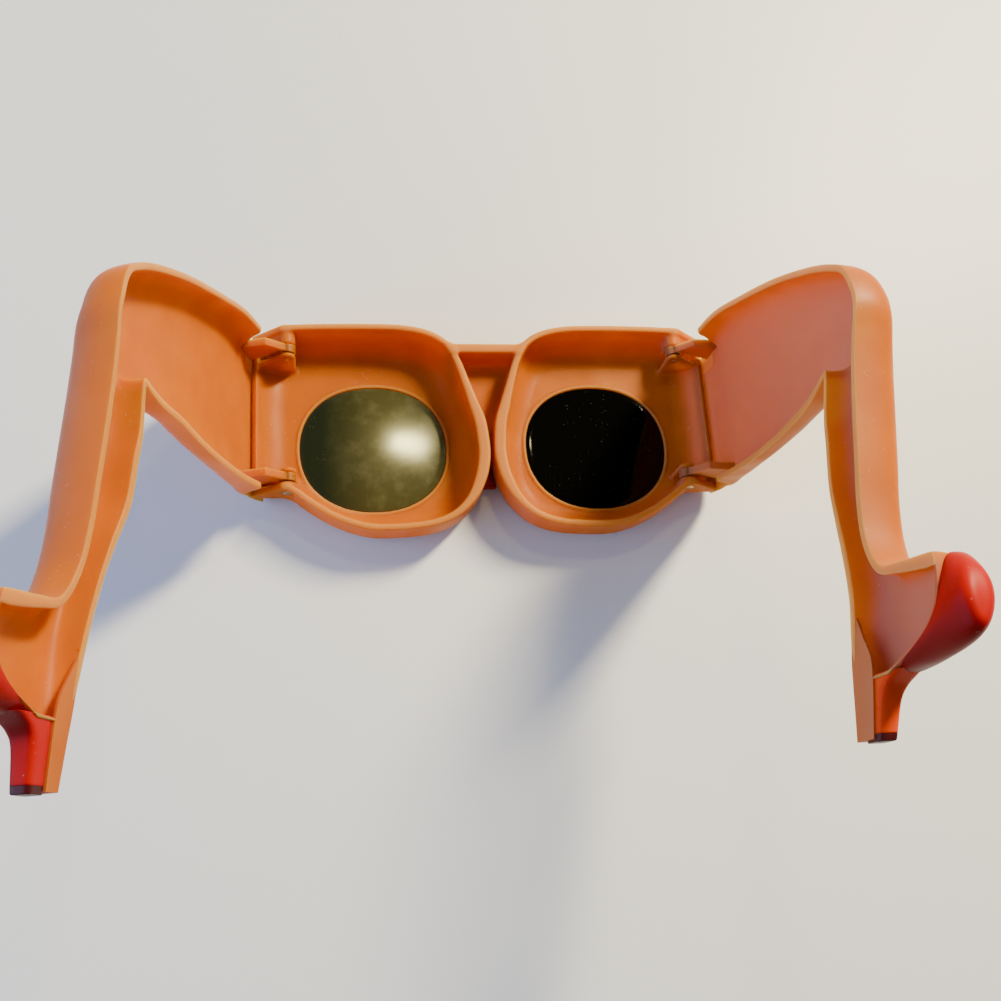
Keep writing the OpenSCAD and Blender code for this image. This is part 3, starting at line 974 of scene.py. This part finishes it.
    def build_pin(self, side: Side, upper: bool) -> bpy.types.Object:
        """Hinge pin: a profile turned around the hinge axis, shank, head and rounded crown.

        Args:
            side: which hinge side.
            upper: the upper or the lower pin.

        Returns:
            The pin.
        """
        h = HINGE
        if upper:
            tail, seat, way = h.tongue_high - h.tongue_t - h.ear_gap - h.ear_t, h.front_high, 1
        else:
            tail, seat, way = h.tongue_low + h.tongue_t + h.ear_gap + h.ear_t, h.front_low, -1
        head = h.pin_r + 0.5
        profile = np.array([
            (0.001, tail - 0.3 * way), (h.pin_r - 0.15, tail - 0.3 * way), (h.pin_r, tail - 0.15 * way),
            (h.pin_r, seat + 0.03 * way), (head, seat + 0.03 * way), (head, seat + 0.34 * way),
            (head - 0.07, seat + 0.44 * way), (head - 0.2, seat + 0.49 * way), (0.001, seat + 0.5 * way),
        ])
        angle = round_angles(40)
        r, y = columns(profile)
        turned = [side.value * h.x + r * np.cos(angle), y + 0 * angle, h.z + r * np.sin(angle)]
        points = np.stack(turned, -1).reshape(-1, 3)
        quads = grid_quads(len(profile), len(angle))
        word = "upper" if upper else "lower"
        obj = make_mesh(f"pin_{side.word}_{word}", points * MM, [quads if upper else quads[:, ::-1]], 30)
        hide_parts(f"hinge_pin_{side.word}_{word}")
        return obj

    def build(self) -> dict[Slot, list[bpy.types.Object]]:
        """Builds the front's pieces and sets them on its body.

        Returns:
            The pieces by material slot.
        """
        made = {
            Slot.ORANGE: [self.build_cups()],
            Slot.DARK_RED: [self.build_panel()],
            Slot.LENS: [self.build_lens(side) for side in Side],
            Slot.PIN: [self.build_pin(side, upper) for side in Side for upper in (True, False)],
        }
        for slot, objects in made.items():
            for obj in objects:
                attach(obj, "front")
                log.info("%s: %d faces", obj.name, len(obj.data.polygons))
        return made


@dataclass
class Leg:
    """One temple: a leg in half relief, hollow towards the wearer, with a red shoe on a high heel."""

    side: Side
    splay: float
    lean: float
    length: float = 92.0
    thigh_h: float = 45.3
    calf_len: float = 67.0
    calf_w: float = 14.5
    ankle_w: float = 11.6
    shoe_len: float = 35.5
    shoe_h: float = 21.5
    heel_h: float = 11.0
    heel_len: float = 5.5
    tip_t: float = 1.6
    bow: float = 8.4
    heel_on: float = 0.0
    heel_back: float = 0.4
    heel_more: float = 1.2
    strip_front: float = 86.2
    lip_t: float = 0.55
    parting: int = 8
    edge: float = 0.35
    run_n: int = 72
    cap_n: int = 8
    heel_power: float = 5.0

    @property
    def toe_y(self) -> float:
        """Height of the instep."""
        return -1 - self.calf_len

    @property
    def sole_y(self) -> float:
        """Height of the sole."""
        return self.toe_y - self.shoe_h

    @property
    def heel_t(self) -> float:
        """Distance from the hinge axis to the back of the heel."""
        return self.length - 7.4

    def stations(self) -> Array:
        """Per station: upper or shin edge (back, up), lower or calf edge (back, up), hollow depth,
        squareness, outer depth, bow towards the toe."""
        L, high, shin = self.length, HINGE.tongue_high, -self.calf_len
        low, toe = high - self.thigh_h, self.toe_y
        calf, ankle, bow = self.calf_w, self.ankle_w, self.bow
        return np.array([
            (0, high, 0, low, 1, 9, 1, 0),
            (6, high + 0.8, 6, low - 1.2, 1, 8, 1, 0),
            (13, high + 1.6, 13, low - 2.2, 1, 5, 1, 0),
            (24, high + 1.3, 24, low - 3.4, 1, 3.4, 1.02, 0),
            (38, high - 1.7, 38, low - 3.8, 1, 2.8, 1.04, 0),
            (L - 40, high - 5.2, L - 42, low - 3.2, 1, 2.7, 1.05, 0),
            (L - 30, high - 8.2, L - 32, low - 1.9, 1, 2.7, 1.06, 0),
            (L - 18, high - 12.6, L - 24, low - 0.8, 1, 3, 1.08, 0),
            (L - 9, high - 16.8, L - 19, low + 0.8, 1, 3.2, 1.1, 0),
            (L - 3.2, high - 21.2, L - 16.4, low + 1.8, 0.98, 3.4, 1.12, 0),
            (L - 0.6, -1, L - 16.3, low - 0.2, 0.85, 3.6, 1.14, 0),
            (L - 1.5, -9, L - 17, low - 4.6, 0.85, 3.6, 1.17, 0),
            (L - 2.4, -17, L - 17.6, low - 10, 0.85, 3.6, 1.2, 0),
            (L - 2.8, -28, L - 2.8 - calf, -32, 0.85, 3.6, 1.2, 0),
            (L - 2.9, -40, L - 2.4 - calf, -42, 0.85, 3.6, 1.18, 0),
            (L - 2.9, shin + 17, L - 2.6 - ankle, shin + 16, 0.84, 3.6, 1.12, 0),
            (L - 1.6, shin + 8, L - ankle, shin + 7, 0.8, 3.6, 1.08, 0),
            (L + 2.6, toe + 2.2, L + 2 - ankle, toe - 2.5, 0.78, 3.6, 1.04, 0.12 * bow),
            (L + 9.4, toe + 0.9, L - 8.4 - 0.6 * self.heel_back, toe - 11.5, 0.76, 3.2, 1, 0.45 * bow),
            (L + 18, toe + 0.2, L - 7.2 - self.heel_back, self.sole_y + 1.2, 0.72, 2.8, 1, bow),
        ], float)

    def toe_rows(self) -> Array:
        """Stations of the shoe from its opening to the point of the toe: instep edge (back, up), sole edge
        (back, up), half depth, bow. Each edge runs as a quarter superellipse from the opening to the point,
        on^p + off^p = 1, and the half depth closes later, as (1 - on^q)^(1/q)."""
        toe, sole, heel = self.toe_y, self.sole_y, self.heel_t
        tip, tip_y = heel + self.shoe_len, (self.toe_y + self.sole_y) / 2 - 3.0
        turn = np.linspace(0, 0.996 * math.pi / 2, 54)
        on, off = np.sin(turn) ** (2 / 2.35), np.cos(turn) ** (2 / 2.35)
        low = np.cos(turn) ** (2 / 2.8)
        start_t = self.length + 18.1
        top_t = start_t + (tip - start_t) * on
        sole_t = heel + 0.8 + (tip - heel - 0.8) * on
        depth = (1 - on**2.7) ** (1 / 2.7)
        return np.column_stack([
            top_t, tip_y + (toe + 0.1 - tip_y) * off, sole_t, tip_y - (tip_y - sole - 0.4) * low,
            depth, self.bow * (1 - on) ** 0.9,
        ])

    def shell_rows(self) -> Array:
        """Fine stations of the moulding, carried on over the first part of the shoe's own stations."""
        rows = smooth_rows(self.stations(), 9)
        shoe = self.toe_rows()[1 : 1 + self.parting]
        more = np.column_stack([shoe[:, :4], np.repeat(rows[-1:, 4:7], len(shoe), 0), shoe[:, 5]])
        return np.vstack([rows, more])

    def shift(self, t: Array, y: Array) -> Array:
        """Sideways shift of the warped calf: it grows with depth below the knee."""
        return -np.minimum(y, 0) * math.tan(math.radians(self.lean)) * ease((t - self.length + 34) / 22)

    def place(self, p: Array) -> Array:
        """Turns points from the leg's own axes (out, up, back) to the glasses, in metres."""
        a = math.radians(self.splay)
        x = p[..., 0] * math.cos(a) + p[..., 2] * math.sin(a) + HINGE.x
        z = p[..., 2] * math.cos(a) - p[..., 0] * math.sin(a) + HINGE.z
        return np.stack([x * self.side.value, p[..., 1], z], -1).reshape(-1, 3) * MM

    @staticmethod
    def bowed(a: Array, b: Array, f: Array, bow: Array) -> Array:
        """Point on the line from b to a, f from -1 to 1, moved sideways by bow (1 - f^2)(1 + f/2)."""
        across = np.stack([a[..., 1] - b[..., 1], b[..., 0] - a[..., 0]], -1)
        across = across / np.maximum(np.linalg.norm(across, axis=-1, keepdims=True), 1e-9)
        middle, reach = (a + b) / 2, (a - b) / 2
        return middle + reach * f[..., None] + across * (bow * (1 - f * f) * (1 + 0.5 * f))[..., None]

    def shell_sections(self, rows: Array) -> tuple[Array, Array, Array]:
        """Closed wall section at each station: an outer superellipse, a rounded rim, an inner superellipse
        back and a rounded rim again. Both superellipses are cut where the lap around the hinge begins.

        Args:
            rows: fine table of stations.

        Returns:
            Place across the leg from -1 to 1, level from the rim outwards in mm, and the rim mask.
        """
        h, e = HINGE, self.edge
        t = rows[:, 0]
        half = np.hypot(rows[:, 0] - rows[:, 2], rows[:, 1] - rows[:, 3])[:, None] / 2
        cut = np.maximum(np.sqrt(np.maximum(h.lap_leg**2 - t**2, 0)) - h.rim_s, 0)[:, None]
        power = rows[:, 5:6]
        out_d = (h.leg_out - h.rim_s) * rows[:, 6:7]
        in_d = (h.leg_in - h.rim_s) * rows[:, 4:5]
        inner = (half - h.leg_wall) / half
        u = np.linspace(0, 1, self.run_n)[None]

        def arc(depth: Array) -> tuple[Array, Array]:
            """One face of the wall, by its greatest depth."""
            c = np.clip((cut + e) / depth, 0, 0.985)
            first = np.arctan2(c, (1 - c**power) ** (1 / power))
            f, s = superellipse(first + (math.pi - 2 * first) * u, power)
            return f, s * depth

        out_f, out_s = arc(out_d)
        in_f, in_s = arc(in_d)
        in_f = in_f * inner
        v = (np.arange(1, self.cap_n + 1) / (self.cap_n + 1))[None] * math.pi
        cap_f, cap_s = superellipse(v, 3.0)
        level = np.minimum(out_s[:, :1], in_s[:, :1])

        def rim(start: Array, end: Array) -> tuple[Array, Array]:
            """Rounded rim from one face to the other."""
            f = (start + end) / 2 + (start - end) / 2 * cap_f
            return f, level - e * cap_s

        low_f, low_s = rim(out_f[:, -1:], in_f[:, -1:])
        high_f, high_s = rim(in_f[:, :1], out_f[:, :1])
        f = np.concatenate([out_f, low_f, in_f[:, ::-1], high_f], 1)
        s = np.concatenate([out_s, low_s, in_s[:, ::-1], high_s], 1)
        mask = np.zeros_like(f)
        n = self.run_n
        mask[:, n : n + self.cap_n] = 1
        mask[:, 2 * n + self.cap_n :] = 1
        return f, s, mask

    def build_shell(self) -> bpy.types.Object:
        """Leg moulding: its wall section carried along the thigh, round the knee and down to the foot."""
        h = HINGE
        rows = self.shell_rows()
        turns = np.radians(np.linspace(h.lap_turn, 0, 12)[:-1])
        table = np.vstack([np.repeat(rows[:1], len(turns), 0), rows])
        turn = np.concatenate([turns, np.zeros(len(rows))])[:, None]
        f, s, mask = self.shell_sections(table)
        a, b = table[:, None, 0:2], table[:, None, 2:4]
        p = self.bowed(a, b, f, table[:, 7:8])
        s = s + h.rim_s
        t, y = p[..., 0], p[..., 1]
        bent = turn > 0
        out = np.where(bent, s * np.cos(turn), s + self.shift(t, y))
        back = np.where(bent, -s * np.sin(turn), t)
        points = self.place(np.stack([out, y, back], -1))
        cols = f.shape[1]
        n, m = self.run_n, self.cap_n
        outer = np.arange(n)
        inner = (2 * n + m - 1) - np.arange(n)
        strip = np.stack([outer[:-1], outer[1:], inner[1:], inner[:-1]], -1)
        low_cap = np.arange(n - 1, n + m + 1)[None]
        high_cap = np.append(np.arange(2 * n + m - 1, cols), 0)[None]
        ends = []
        for base, flip in ((0, True), ((len(table) - 1) * cols, False)):
            for cap in (strip, low_cap, high_cap):
                ends.append((cap[:, ::-1] if flip else cap) + base)
        obj = make_mesh(f"leg_moulding_{self.side.word}", points, [grid_quads(len(table), cols), *ends], 50)
        # The rounded rims get the pale edge colour as a painted highlight.
        set_mask(obj, "rim", mask.ravel())
        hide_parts(f"leg_{self.side.word}")
        return obj

    def build_end_wall(self) -> bpy.types.Object:
        """Wall that closes the hollow at the shoe: the hollow's own section between two stations, filled
        from its floor to its free edge, which has the same sideways bow."""
        rows = self.shell_rows()[[-3, -1]]
        f, s, _ = self.shell_sections(rows)
        n = self.run_n
        inner = slice(n + self.cap_n, 2 * n + self.cap_n)
        f, floor = f[:, inner] * 1.01, np.maximum(s[:, inner], 0.6)
        f = np.hstack([f, f[:, ::-1]])
        s = np.hstack([floor, 0 * floor + 0.25])
        p = self.bowed(rows[:, None, 0:2], rows[:, None, 2:4], f, rows[:, 7:8])
        out = s + HINGE.rim_s + self.shift(p[..., 0], p[..., 1])
        points = self.place(np.stack([out, p[..., 1], p[..., 0]], -1))
        cap = ladder(2 * n)
        faces = [grid_quads(2, 2 * n), cap[:, ::-1], cap + 2 * n]
        return make_mesh(f"foot_wall_{self.side.word}", points, faces, 50)

    def build_strip(self) -> bpy.types.Object:
        """Orange strip of the leg down the back of the heel, with a thin lip over the heel's inner face.

        Each station has its height, its back, the front of the lip, and the levels of the strip's top and
        base over the rim.

        Returns:
            The strip.
        """
        h, sole = HINGE, self.sole_y
        back, front, body = self.heel_t + 0.1 - self.heel_back, self.strip_front, self.heel_t + 1
        low = sole - self.heel_h - self.heel_more + 0.6
        rows = smooth_rows(np.array([
            (low, back + 0.5, front - 0.8, 3.4, 0),
            (sole - 4, back + 0.2, front - 0.2, 4.2, 0),
            (sole, back, front, 4.4, 0),
            (sole + 5, back - 0.15, front - 0.4, 3.0, 0),
            (sole + 10, back + 0.1, (front + 85.0) / 2 - 0.6, 1.3, 0.1),
            (sole + 15, back + 0.5, 84.0, 1.1, 0.55),
        ]), 8)
        y, rear, lip, wide, base = columns(rows)
        top = base + self.lip_t
        s = h.rim_s + np.hstack([base, wide, wide, top, top, base])
        s = s - y * math.tan(math.radians(self.lean))
        middle = np.minimum(body + 0 * lip, lip - 0.2)
        t = np.hstack([rear, rear, middle, middle, lip, lip])
        points = self.place(np.stack([s, y + 0 * s, t], -1))
        last = (len(rows) - 1) * 6
        caps = [np.arange(6)[None, ::-1], np.arange(6)[None] + last]
        obj = make_mesh(f"heel_strip_{self.side.word}", points, [grid_quads(len(rows), 6), *caps])
        bevel(obj, 0.25)
        # Graded pale edge colour along the strip's faces: a painted highlight.
        set_mask(obj, "rim", np.tile([0.1, 0.0, 0.0, 0.1, 0.15, 0.4], len(rows)))
        return obj

    def build_knuckles(self) -> bpy.types.Object:
        """Two hinge tongues: a turned eye around the axis and a plate out to the wall of the leg."""
        h = HINGE
        n = math.radians(h.chamfer + h.open_max)
        d = h.ear_r + 0.15 + h.stop_gap
        k = math.sqrt((h.leg_in + 0.4) ** 2 - d * d)
        hole = h.pin_r + h.pin_play
        sweep = np.linspace(math.pi, n, 12)
        stop = np.array([d * math.cos(n), d * math.sin(n)])
        plate = np.vstack([
            np.stack([hole * np.cos(sweep), hole * np.sin(sweep)], -1), stop,
            stop + k * np.array([math.sin(n), -math.cos(n)]),
            [(h.leg_in + 0.5, 4), (h.leg_in + 0.5, 8), (h.rim_s + 0.3, 8), (-h.eye_r, 0.01)],
        ])
        angle = round_angles(48)
        ring = np.stack([np.cos(angle), np.sin(angle)], -1)
        points, faces, count = [], [], 0

        def lift(outline: Array, y: float) -> Array:
            """An outline at a height."""
            return np.column_stack([outline[:, 0], np.full(len(outline), y), outline[:, 1]])

        for low in (h.tongue_high - h.tongue_t, h.tongue_low):
            high, m, r = low + h.tongue_t, len(ring), len(plate)
            for radius, y in ((h.eye_r, low), (h.eye_r, high), (hole, high), (hole, low)):
                points.append(lift(radius * ring, y))
            j = np.arange(m)
            close = np.stack([3 * m + j, 3 * m + (j + 1) % m, (j + 1) % m, j], -1)
            faces += [grid_quads(4, m) + count, close + count]
            count += 4 * m
            points += [lift(plate, low + 0.05), lift(plate, high - 0.05)]
            cap = np.arange(r)[None]
            faces += [grid_quads(2, r) + count, cap[:, ::-1] + count, cap + r + count]
            count += 2 * r
        obj = make_mesh(f"knuckles_{self.side.word}", self.place(np.vstack(points)), faces)
        bevel(obj, 0.2, 2)
        return obj

    def rings_mesh(self, name: str, rings: Array, sharp: float) -> bpy.types.Object:
        """Skin over closed rings, its ends closed in their middle points.

        Args:
            name: the piece's name.
            rings: points of each ring in the leg's own axes.
            sharp: edges bent by more than this many degrees are shaded sharp.

        Returns:
            The new object.
        """
        m, n = rings.shape[:2]
        points = np.vstack([rings.reshape(-1, 3), rings[0].mean(0), rings[-1].mean(0)])
        first = fan(np.append(np.arange(n), m * n))
        last = fan(np.append(np.arange(n) + (m - 1) * n, m * n + 1))
        return make_mesh(name, self.place(points), [grid_quads(m, n), first[:, ::-1], last], sharp)

    def heel_rings(self, rows: Array) -> Array:
        """Rounded oblong rings across the heel.

        Args:
            rows: per ring its height, back end, length and width.

        Returns:
            Points of each ring in the leg's own axes.
        """
        c, s = superellipse(round_angles(64), self.heel_power)
        y, back, long, wide = columns(rows)
        lean = -y * math.tan(math.radians(self.lean))
        out = HINGE.rim_s + 0.4 + wide / 2 + wide / 2 * s + lean
        return np.stack([out, y + 0 * out, back + long / 2 + long / 2 * c], -1)

    def build_shoe(self) -> bpy.types.Object:
        """Shoe: closed superellipse rings from the instep to the toe."""
        h = HINGE
        rows = self.toe_rows()[self.parting :]
        power = 2.8 - 0.75 * ease(np.arange(len(rows)) / 14)
        f, side = superellipse(round_angles(96)[None], power[:, None])
        p = self.bowed(rows[:, None, 0:2], rows[:, None, 2:4], f, rows[:, 5:6])
        half = (h.leg_out - h.rim_s) / 2
        out = h.rim_s + half + half * rows[:, 4:5] * side + self.shift(p[..., 0], p[..., 1])
        toe = self.rings_mesh(f"shoe_{self.side.word}_toe", np.stack([out, p[..., 1], p[..., 0]], -1), 60)
        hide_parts(f"shoe_{self.side.word}")
        return toe

    def heel_rows(self) -> Array:
        """Per ring of the heel: height, back end, length and width."""
        sole, wide = self.sole_y, self.heel_len - 0.9
        back = self.heel_t + 1.1 + self.heel_on
        low = sole - self.heel_h - self.heel_more + self.tip_t
        return np.array([
            (sole + 1.3, back - 0.3, self.heel_len + 7.6, wide + 2.6),
            (sole + 0.2, back - 0.1, self.heel_len + 5.2, wide + 2.3),
            (sole - 1.6, back, self.heel_len + 2.4, wide + 1.6),
            (sole - 0.4 * self.heel_h, back, self.heel_len + 0.9, wide + 0.8),
            (low, back, self.heel_len, wide),
        ])

    def build_heel(self) -> bpy.types.Object:
        """Heel of the shoe, flared under the sole."""
        rings = self.heel_rings(smooth_rows(self.heel_rows(), 8))
        heel = self.rings_mesh(f"shoe_{self.side.word}_heel", rings, 50)
        bevel(heel, 0.15, 2)
        return heel

    def build_tip(self) -> bpy.types.Object:
        """Dark tip under the heel, with a rounded lower edge."""
        top = self.heel_rows()[-1] - np.array([0.02, 0, 0, 0])
        low = top - np.array([self.tip_t, 0, 0.1, 0.2])
        steps = np.array([(0.3, 0, 0, 0), (0.08, 0.1, -0.2, -0.2), (0, 0.3, -0.6, -0.6)])
        rows = np.vstack([top, low + steps])
        tip = self.rings_mesh(f"heel_cap_{self.side.word}", self.heel_rings(rows), 60)
        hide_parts(f"heel_tip_{self.side.word}")
        return tip

    def build(self) -> dict[Slot, list[bpy.types.Object]]:
        """Builds the leg's pieces and sets them on its body.

        Returns:
            The pieces by material slot.
        """
        made = {
            Slot.ORANGE: [
                self.build_shell(), self.build_end_wall(), self.build_strip(), self.build_knuckles()
            ],
            Slot.RED: [self.build_shoe(), self.build_heel()],
            Slot.DARK_RED: [self.build_tip()],
        }
        for slot, objects in made.items():
            for obj in objects:
                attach(obj, f"{self.side.word}_leg")
                log.info("%s: %d faces", obj.name, len(obj.data.polygons))
        return made


# Studio


@dataclass(frozen=True)
class Lamp:
    """One soft rectangular light."""

    name: str
    place: Triple
    aim: Triple
    size: Pair
    power: float
    colour: Triple

    def build(self) -> None:
        """Adds the light."""
        data = bpy.data.lights.new(self.name, "AREA")
        data.shape = "RECTANGLE"
        data.size, data.size_y = self.size
        data.energy = self.power
        data.color = self.colour
        obj = bpy.data.objects.new(self.name, data)
        bpy.context.scene.collection.objects.link(obj)
        obj.location = self.place
        obj.rotation_euler = (Vector(self.aim) - Vector(self.place)).to_track_quat("-Z", "Y").to_euler()


@dataclass(frozen=True)
class Studio:
    """Pale table, soft lights and the photograph's viewpoint."""

    focal: float = 1150.01
    distance: float = 347.52
    move: Pair = (-4.274, 15.789)
    turns: Triple = (-0.31177, 0.16443, 0.06627)
    target_z: float = 2.2
    frame_px: int = 1001
    sensor: float = 36.0
    table: Triple = (0.87, 0.87, 0.865)
    table_rough: float = 0.45
    table_half: float = 3.0
    lamps: tuple[Lamp, ...] = (
        Lamp("window", (0.56, 0.52, 0.72), (0.0, 0.0, 0.03), (0.12, 0.36), 24.0, (1.0, 0.87, 0.56)),
        Lamp("ceiling_lamp", (0.055, 0.29, 0.745), (0.0, 0.0, 0.0), (0.045, 0.02), 0.4, (1.0, 0.86, 0.36)),
        Lamp("pale_wall", (-0.7, -0.1, 0.34), (0.0, 0.0, 0.04), (0.9, 0.5), 7.0, (0.4, 0.56, 1.0)),
    )
    sky: Triple = (0.74, 0.84, 1.04)
    dark: Triple = (0.02, 0.02, 0.02)
    dark_way: Triple = (0.16, 0.35, 0.92)
    sky_strength: float = 0.29

    def camera(self) -> None:
        """Pinhole camera: the scene is turned by three angles and moved in front of the lens."""
        rx, ry, rz = self.turns
        turn = Matrix.Rotation(rz, 3, "Z") @ Matrix.Rotation(rx, 3, "X") @ Matrix.Rotation(ry, 3, "Y")
        back = turn.transposed()
        place = back @ Vector((-self.move[0], -self.move[1], self.distance)) + Vector((0, 0, self.target_z))
        data = bpy.data.cameras.new("photo_view")
        data.sensor_width = self.sensor
        data.lens = self.focal / self.frame_px * self.sensor
        data.clip_start, data.clip_end = 0.01, 50.0
        camera = bpy.data.objects.new("photo_view", data)
        bpy.context.scene.collection.objects.link(camera)
        whole = back.to_4x4()
        whole.translation = place * MM
        camera.matrix_world = whole
        bpy.context.scene.camera = camera

    def floor(self) -> None:
        """Plain pale table top under the glasses."""
        made, t, shader = new_material("pale_table")
        pale = tuple(1.06 * c for c in self.table)
        colour = t.mix(t.span(t.noise(t.place(), 3.0), 0.3, 0.7), self.table, pale)
        t.feed(shader, {"Base Color": colour, "Roughness": self.table_rough})
        r = self.table_half
        points = np.array([(-r, -r, 0), (r, -r, 0), (r, r, 0), (-r, r, 0)])
        table = make_mesh("table_top", points, [np.array([[0, 1, 2, 3]])])
        table.data.materials.append(made)

    def world(self) -> None:
        """Pale room around the table, dark where the person with the camera leans over it."""
        world = bpy.data.worlds.new("room")
        bpy.context.scene.world = world
        world.use_nodes = True
        t = Tree(world.node_tree)
        way = t.node("ShaderNodeTexCoord").outputs["Generated"]
        share = t.span(t.vector("DOT_PRODUCT", way, self.dark_way).outputs["Value"], 0.82, 0.96)
        background = world.node_tree.nodes["Background"]
        t.feed(background, {"Color": t.mix(share, self.sky, self.dark), "Strength": self.sky_strength})

    def build(self) -> None:
        """Builds table, lights, world and camera."""
        self.floor()
        self.world()
        for lamp in self.lamps:
            lamp.build()
        self.camera()


class Finish(Enum):
    """The finishes of the object's pieces."""

    # Colours of each plastic: body, deep, edge, and last the painted sheen or painted shade of its turned
    # side.
    ORANGE = Plastic(
        "orange_moulding", (0.58, 0.138, 0.0), (0.5, 0.11, 0.0), (0.6, 0.22, 0.045), (0.45, 0.15, 0.085),
        rough=0.46, glow=0.6, glow_depth=0.01, glow_tint=(1.0, 0.75, 0.2), shine=0.16,
    )
    # Darker copy of the orange moulding for the heel strips and foot walls: painted shade.
    STRIP = Plastic(
        "orange_with_painted_shade", (0.5, 0.11, 0.0), (0.44, 0.092, 0.0), (0.56, 0.17, 0.02), (0.42, 0.11, 0.06),
        rough=0.46, glow=0.1, shine=0.16,
    )
    RED = Plastic(
        "red_gloss", (0.52, 0.003, 0.0), (0.44, 0.002, 0.0), (0.5, 0.02, 0.002), (0.13, 0.0004, 0.0),
        rough=0.42, glow=0.1, glow_tint=(1.0, 0.1, 0.03), bump=0.00001, shine=0.12,
    )
    # Right heel: its orange red is a painted glow of light shining through the heel.
    THIN_RED = Plastic(
        "red_with_painted_orange_glow", (0.85, 0.1, 0.0), (0.7, 0.04, 0.0), (0.75, 0.16, 0.02), (0.5, 0.02, 0.0),
        rough=0.42, glow=0.3, bump=0.00001, shine=0.12,
    )
    DARK = Plastic(
        "dark_heel_cap", (0.08, 0.001, 0.001), (0.04, 0.001, 0.001), (0.2, 0.02, 0.01), (0.05, 0.001, 0.001),
        rough=0.4, shine=0.25,
    )
    # Left lens: its olive side is a painted reflection of the light.
    LENS_LEFT = TintedLens(
        "tinted_lens_left", (0.014, 0.021, 0.012), (0.062, 0.06, 0.02), rough=0.1, middle=-0.041, span=0.008,
    )
    LENS_RIGHT = TintedLens(
        "tinted_lens_right", (0.002, 0.002, 0.0015), (0.0015, 0.0015, 0.001), rough=0.06, middle=0.034,
        coat=0.0, shine=0.1, smudge=0.0,
    )
    BRASS = PinBrass()


BY_SLOT = {
    Slot.ORANGE: Finish.ORANGE,
    Slot.RED: Finish.RED,
    Slot.DARK_RED: Finish.DARK,
    Slot.PIN: Finish.BRASS,
}
BY_NAME = {
    "nose_panel": Finish.RED,
    "shoe_right_heel": Finish.THIN_RED,
    "lens_glass_left": Finish.LENS_LEFT,
    "lens_glass_right": Finish.LENS_RIGHT,
    "heel_strip_left": Finish.STRIP,
    "heel_strip_right": Finish.STRIP,
    "foot_wall_left": Finish.STRIP,
    "foot_wall_right": Finish.STRIP,
}
# Side of each slot that gets painted light: a pale painted reflection on the orange, painted shade on the red
# and tip.
SHEEN_AND_SHADE_TOWARD = {Slot.ORANGE: (-1.0, 0.0, -0.1), Slot.RED: (-0.45, -0.9, 0.0), Slot.DARK_RED: (0.0, -1.0, 0.0)}
RIGHT_LEG_SHEEN_AND_SHADE_TOWARD = (-0.9, 0.0, 0.45)


def dress(
    pieces: dict[Slot, list[bpy.types.Object]], groups: Groups, ready: dict[Finish, bpy.types.Material]
) -> None:
    """Gives each piece its finish, which is built when it is first used.

    Args:
        pieces: pieces by material slot.
        groups: the shared node groups.
        ready: materials built so far, by finish.
    """
    for slot, objects in pieces.items():
        for obj in objects:
            finish = BY_NAME.get(obj.name, BY_SLOT.get(slot))
            if finish not in ready:
                ready[finish] = finish.value.material(groups)
            obj.data.materials.append(ready[finish])
            if isinstance(finish.value, Plastic):
                right_leg = slot is Slot.ORANGE and obj.name.endswith("right")
                paint_sheen_and_shade(obj, RIGHT_LEG_SHEEN_AND_SHADE_TOWARD if right_leg else SHEEN_AND_SHADE_TOWARD[slot])
            if "rim" not in obj.data.attributes:
                set_mask(obj, "rim", np.zeros(len(obj.data.vertices)))


def main() -> None:
    """Loads the frame, builds and dresses the pieces, and sets the studio around them."""
    logging.basicConfig(level=logging.INFO, format="%(name)s: %(message)s")
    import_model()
    groups = Groups.build()
    ready: dict[Finish, bpy.types.Material] = {}
    dress(Front().build(), groups, ready)
    left = Leg(Side.LEFT, 18.4, 7.0, heel_on=3.0, heel_more=2.2, strip_front=90.0)
    right = Leg(Side.RIGHT, 6.6, -7.0, heel_back=2.0, strip_front=90.2)
    for leg in (left, right):
        dress(leg.build(), groups, ready)
    Studio().build()
    bpy.context.view_layer.update()
    log.info("dressed %d meshes", len(bpy.data.meshes))


if __name__ == "__main__":
    main()
